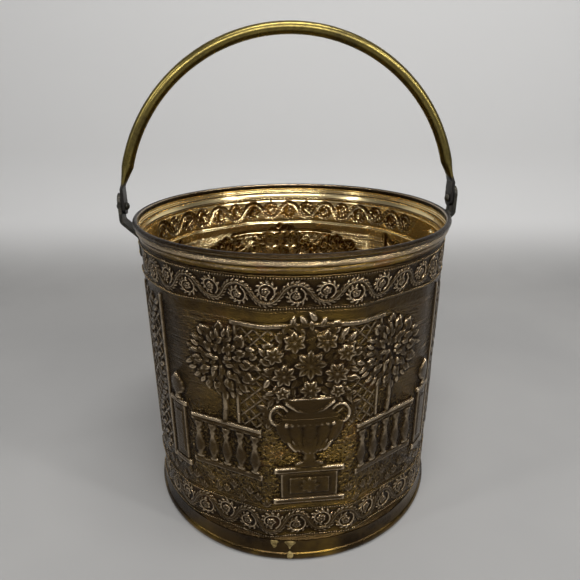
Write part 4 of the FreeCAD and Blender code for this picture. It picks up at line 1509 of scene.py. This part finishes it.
# %% Give the solids their finishes
solids_by_finish = (
    (bail_finish, ("bail",)),
    (moulding_finish, ("foot_ring",)),
    (bottom_finish, ("bottom_plate",)),
    (inside_finish, ("left_seam_strap", "right_seam_strap", "left_lug_rivets", "right_lug_rivets")),
    (iron_finish, ("rim_wire", "left_lug", "right_lug", "left_pivot_rivet", "right_pivot_rivet")),
)
for finish, node_names in solids_by_finish:
    for node_name in node_names:
        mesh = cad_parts[node_name].data
        mesh.materials.clear()
        mesh.materials.append(finish)
    print(finish.name, "on", ", ".join(node_names))

# %% [markdown]
# ## Floor and backdrop
# A pale sweep, floor and wall in one bent sheet, carries the bucket and is what its brass mirrors. Two
# flat planes would do, but their corner would show as a line, and a sweep has none.

# %% Pale paper
floor_grey = (0.345, 0.338, 0.328)
floor_shade = (0.315, 0.310, 0.302)
wall_white = (0.60, 0.595, 0.585)
wall_starts_m = 0.10


def pale_paper(tree):
    """Grey under the bucket and paler up the wall, with a faint unevenness."""
    place = object_place(tree)
    clouds = noise(tree, place, scale=3.0, detail=3.0).ramp(0.3, 0.7)
    floor = blend_colours(tree, clouds, floor_grey, floor_shade)
    up_the_wall = height_at(tree, place).ramp(0.0, wall_starts_m)
    return {"Base Color": blend_colours(tree, up_the_wall, floor, wall_white)}


paper_finish = new_finish("pale_paper", pale_paper, roughness=0.85)

# %% Bend the sweep
sweep_front_m = -1.6
sweep_back_m = 0.75
sweep_top_m = 2.2
sweep_bend_m = 0.25
sweep_half_m = 2.2
bend_turns = np.linspace(0.1, quarter, 12)
bend_start_m = sweep_back_m - sweep_bend_m
sweep_line = [(sweep_front_m, 0.0), (bend_start_m, 0.0)]
for turn in bend_turns:
    rise_m = sweep_bend_m - sweep_bend_m * math.cos(turn)
    sweep_line.append((bend_start_m + sweep_bend_m * math.sin(turn), rise_m))
sweep_line.append((sweep_back_m, sweep_top_m))
sweep_points = [(x, y, z) for y, z in sweep_line for x in (-sweep_half_m, sweep_half_m)]
sweep_faces = [(i, i + 1, i + 3, i + 2) for i in range(0, len(sweep_points) - 2, 2)]
sweep_mesh = bpy.data.meshes.new("sweep")
sweep_mesh.from_pydata(sweep_points, [], sweep_faces)
sweep_mesh.polygons.foreach_set("use_smooth", np.ones(len(sweep_faces), bool))
sweep_mesh.materials.append(paper_finish)
sweep = bpy.data.objects.new("sweep", sweep_mesh)
sweep.rotation_euler.z = -bail_turn
scene.collection.objects.link(sweep)
print("sweep of", len(sweep_faces), "faces")

# %% [markdown]
# ## Lamps
# Brass shows its shape by what it mirrors, so the lamps are long and narrow. One overhead and a wide
# strip in front draw the highlights along the rim and the bail, and two upright ones at the sides open
# the shadows. One big soft lamp would light it too, but the relief would look flat. A dim grey world
# fills the rest.

# %% Hang the lamps
lamp_target = (0, 0, 0.2)
lamps = (
    ("overhead", (0.1, -0.35, 1.65), (1.0, 0.14), 13.0),
    ("front_top", (0.10, -1.45, 1.05), (2.2, 0.09), 21.0),
    ("left_fill", (-1.4, -0.6, 1.2), (0.12, 0.9), 4.8),
    ("right_fill", (1.2, -0.9, 1.1), (0.12, 0.9), 6.0),
)
for name, place_m, size_m, watts in lamps:
    data = bpy.data.lights.new(name, "AREA")
    data.shape = "RECTANGLE"
    data.size, data.size_y = size_m
    data.energy = watts
    lamp = bpy.data.objects.new(name, data)
    scene.collection.objects.link(lamp)
    lamp.location = place_m
    lamp.rotation_euler = (Vector(lamp_target) - Vector(place_m)).to_track_quat("-Z", "Y").to_euler()
    print("lamp", name, "of", watts, "watts")

# %% Light the rest
world_grey = (0.125, 0.125, 0.13, 1.0)
world = bpy.data.worlds.new("studio")
world.use_nodes = True
world.node_tree.nodes["Background"].inputs["Color"].default_value = world_grey
scene.world = world
scene.view_settings.view_transform = "Standard"
print("world", world.name, "of grey", world_grey[:3])

# %% [markdown]
# ## Join the pieces to their bodies
# Everything made here belongs to the bucket; the bail is a solid that swings by itself. The stamped
# sheets and rims stand for the two wall solids. They could be shown beside them, but then two walls would
# lie in one place.

# %% Ride, replace and finish
for piece in wall_pieces:
    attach(piece, "bucket")
    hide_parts("front_wall" if piece.name.startswith("front") else "rear_wall")
for piece in pearl_pieces + drip_pieces:
    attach(piece, "bucket")
print(len(wall_pieces), "wall pieces,", len(pearl_pieces), "pearl rows and", len(drip_pieces), "drips")
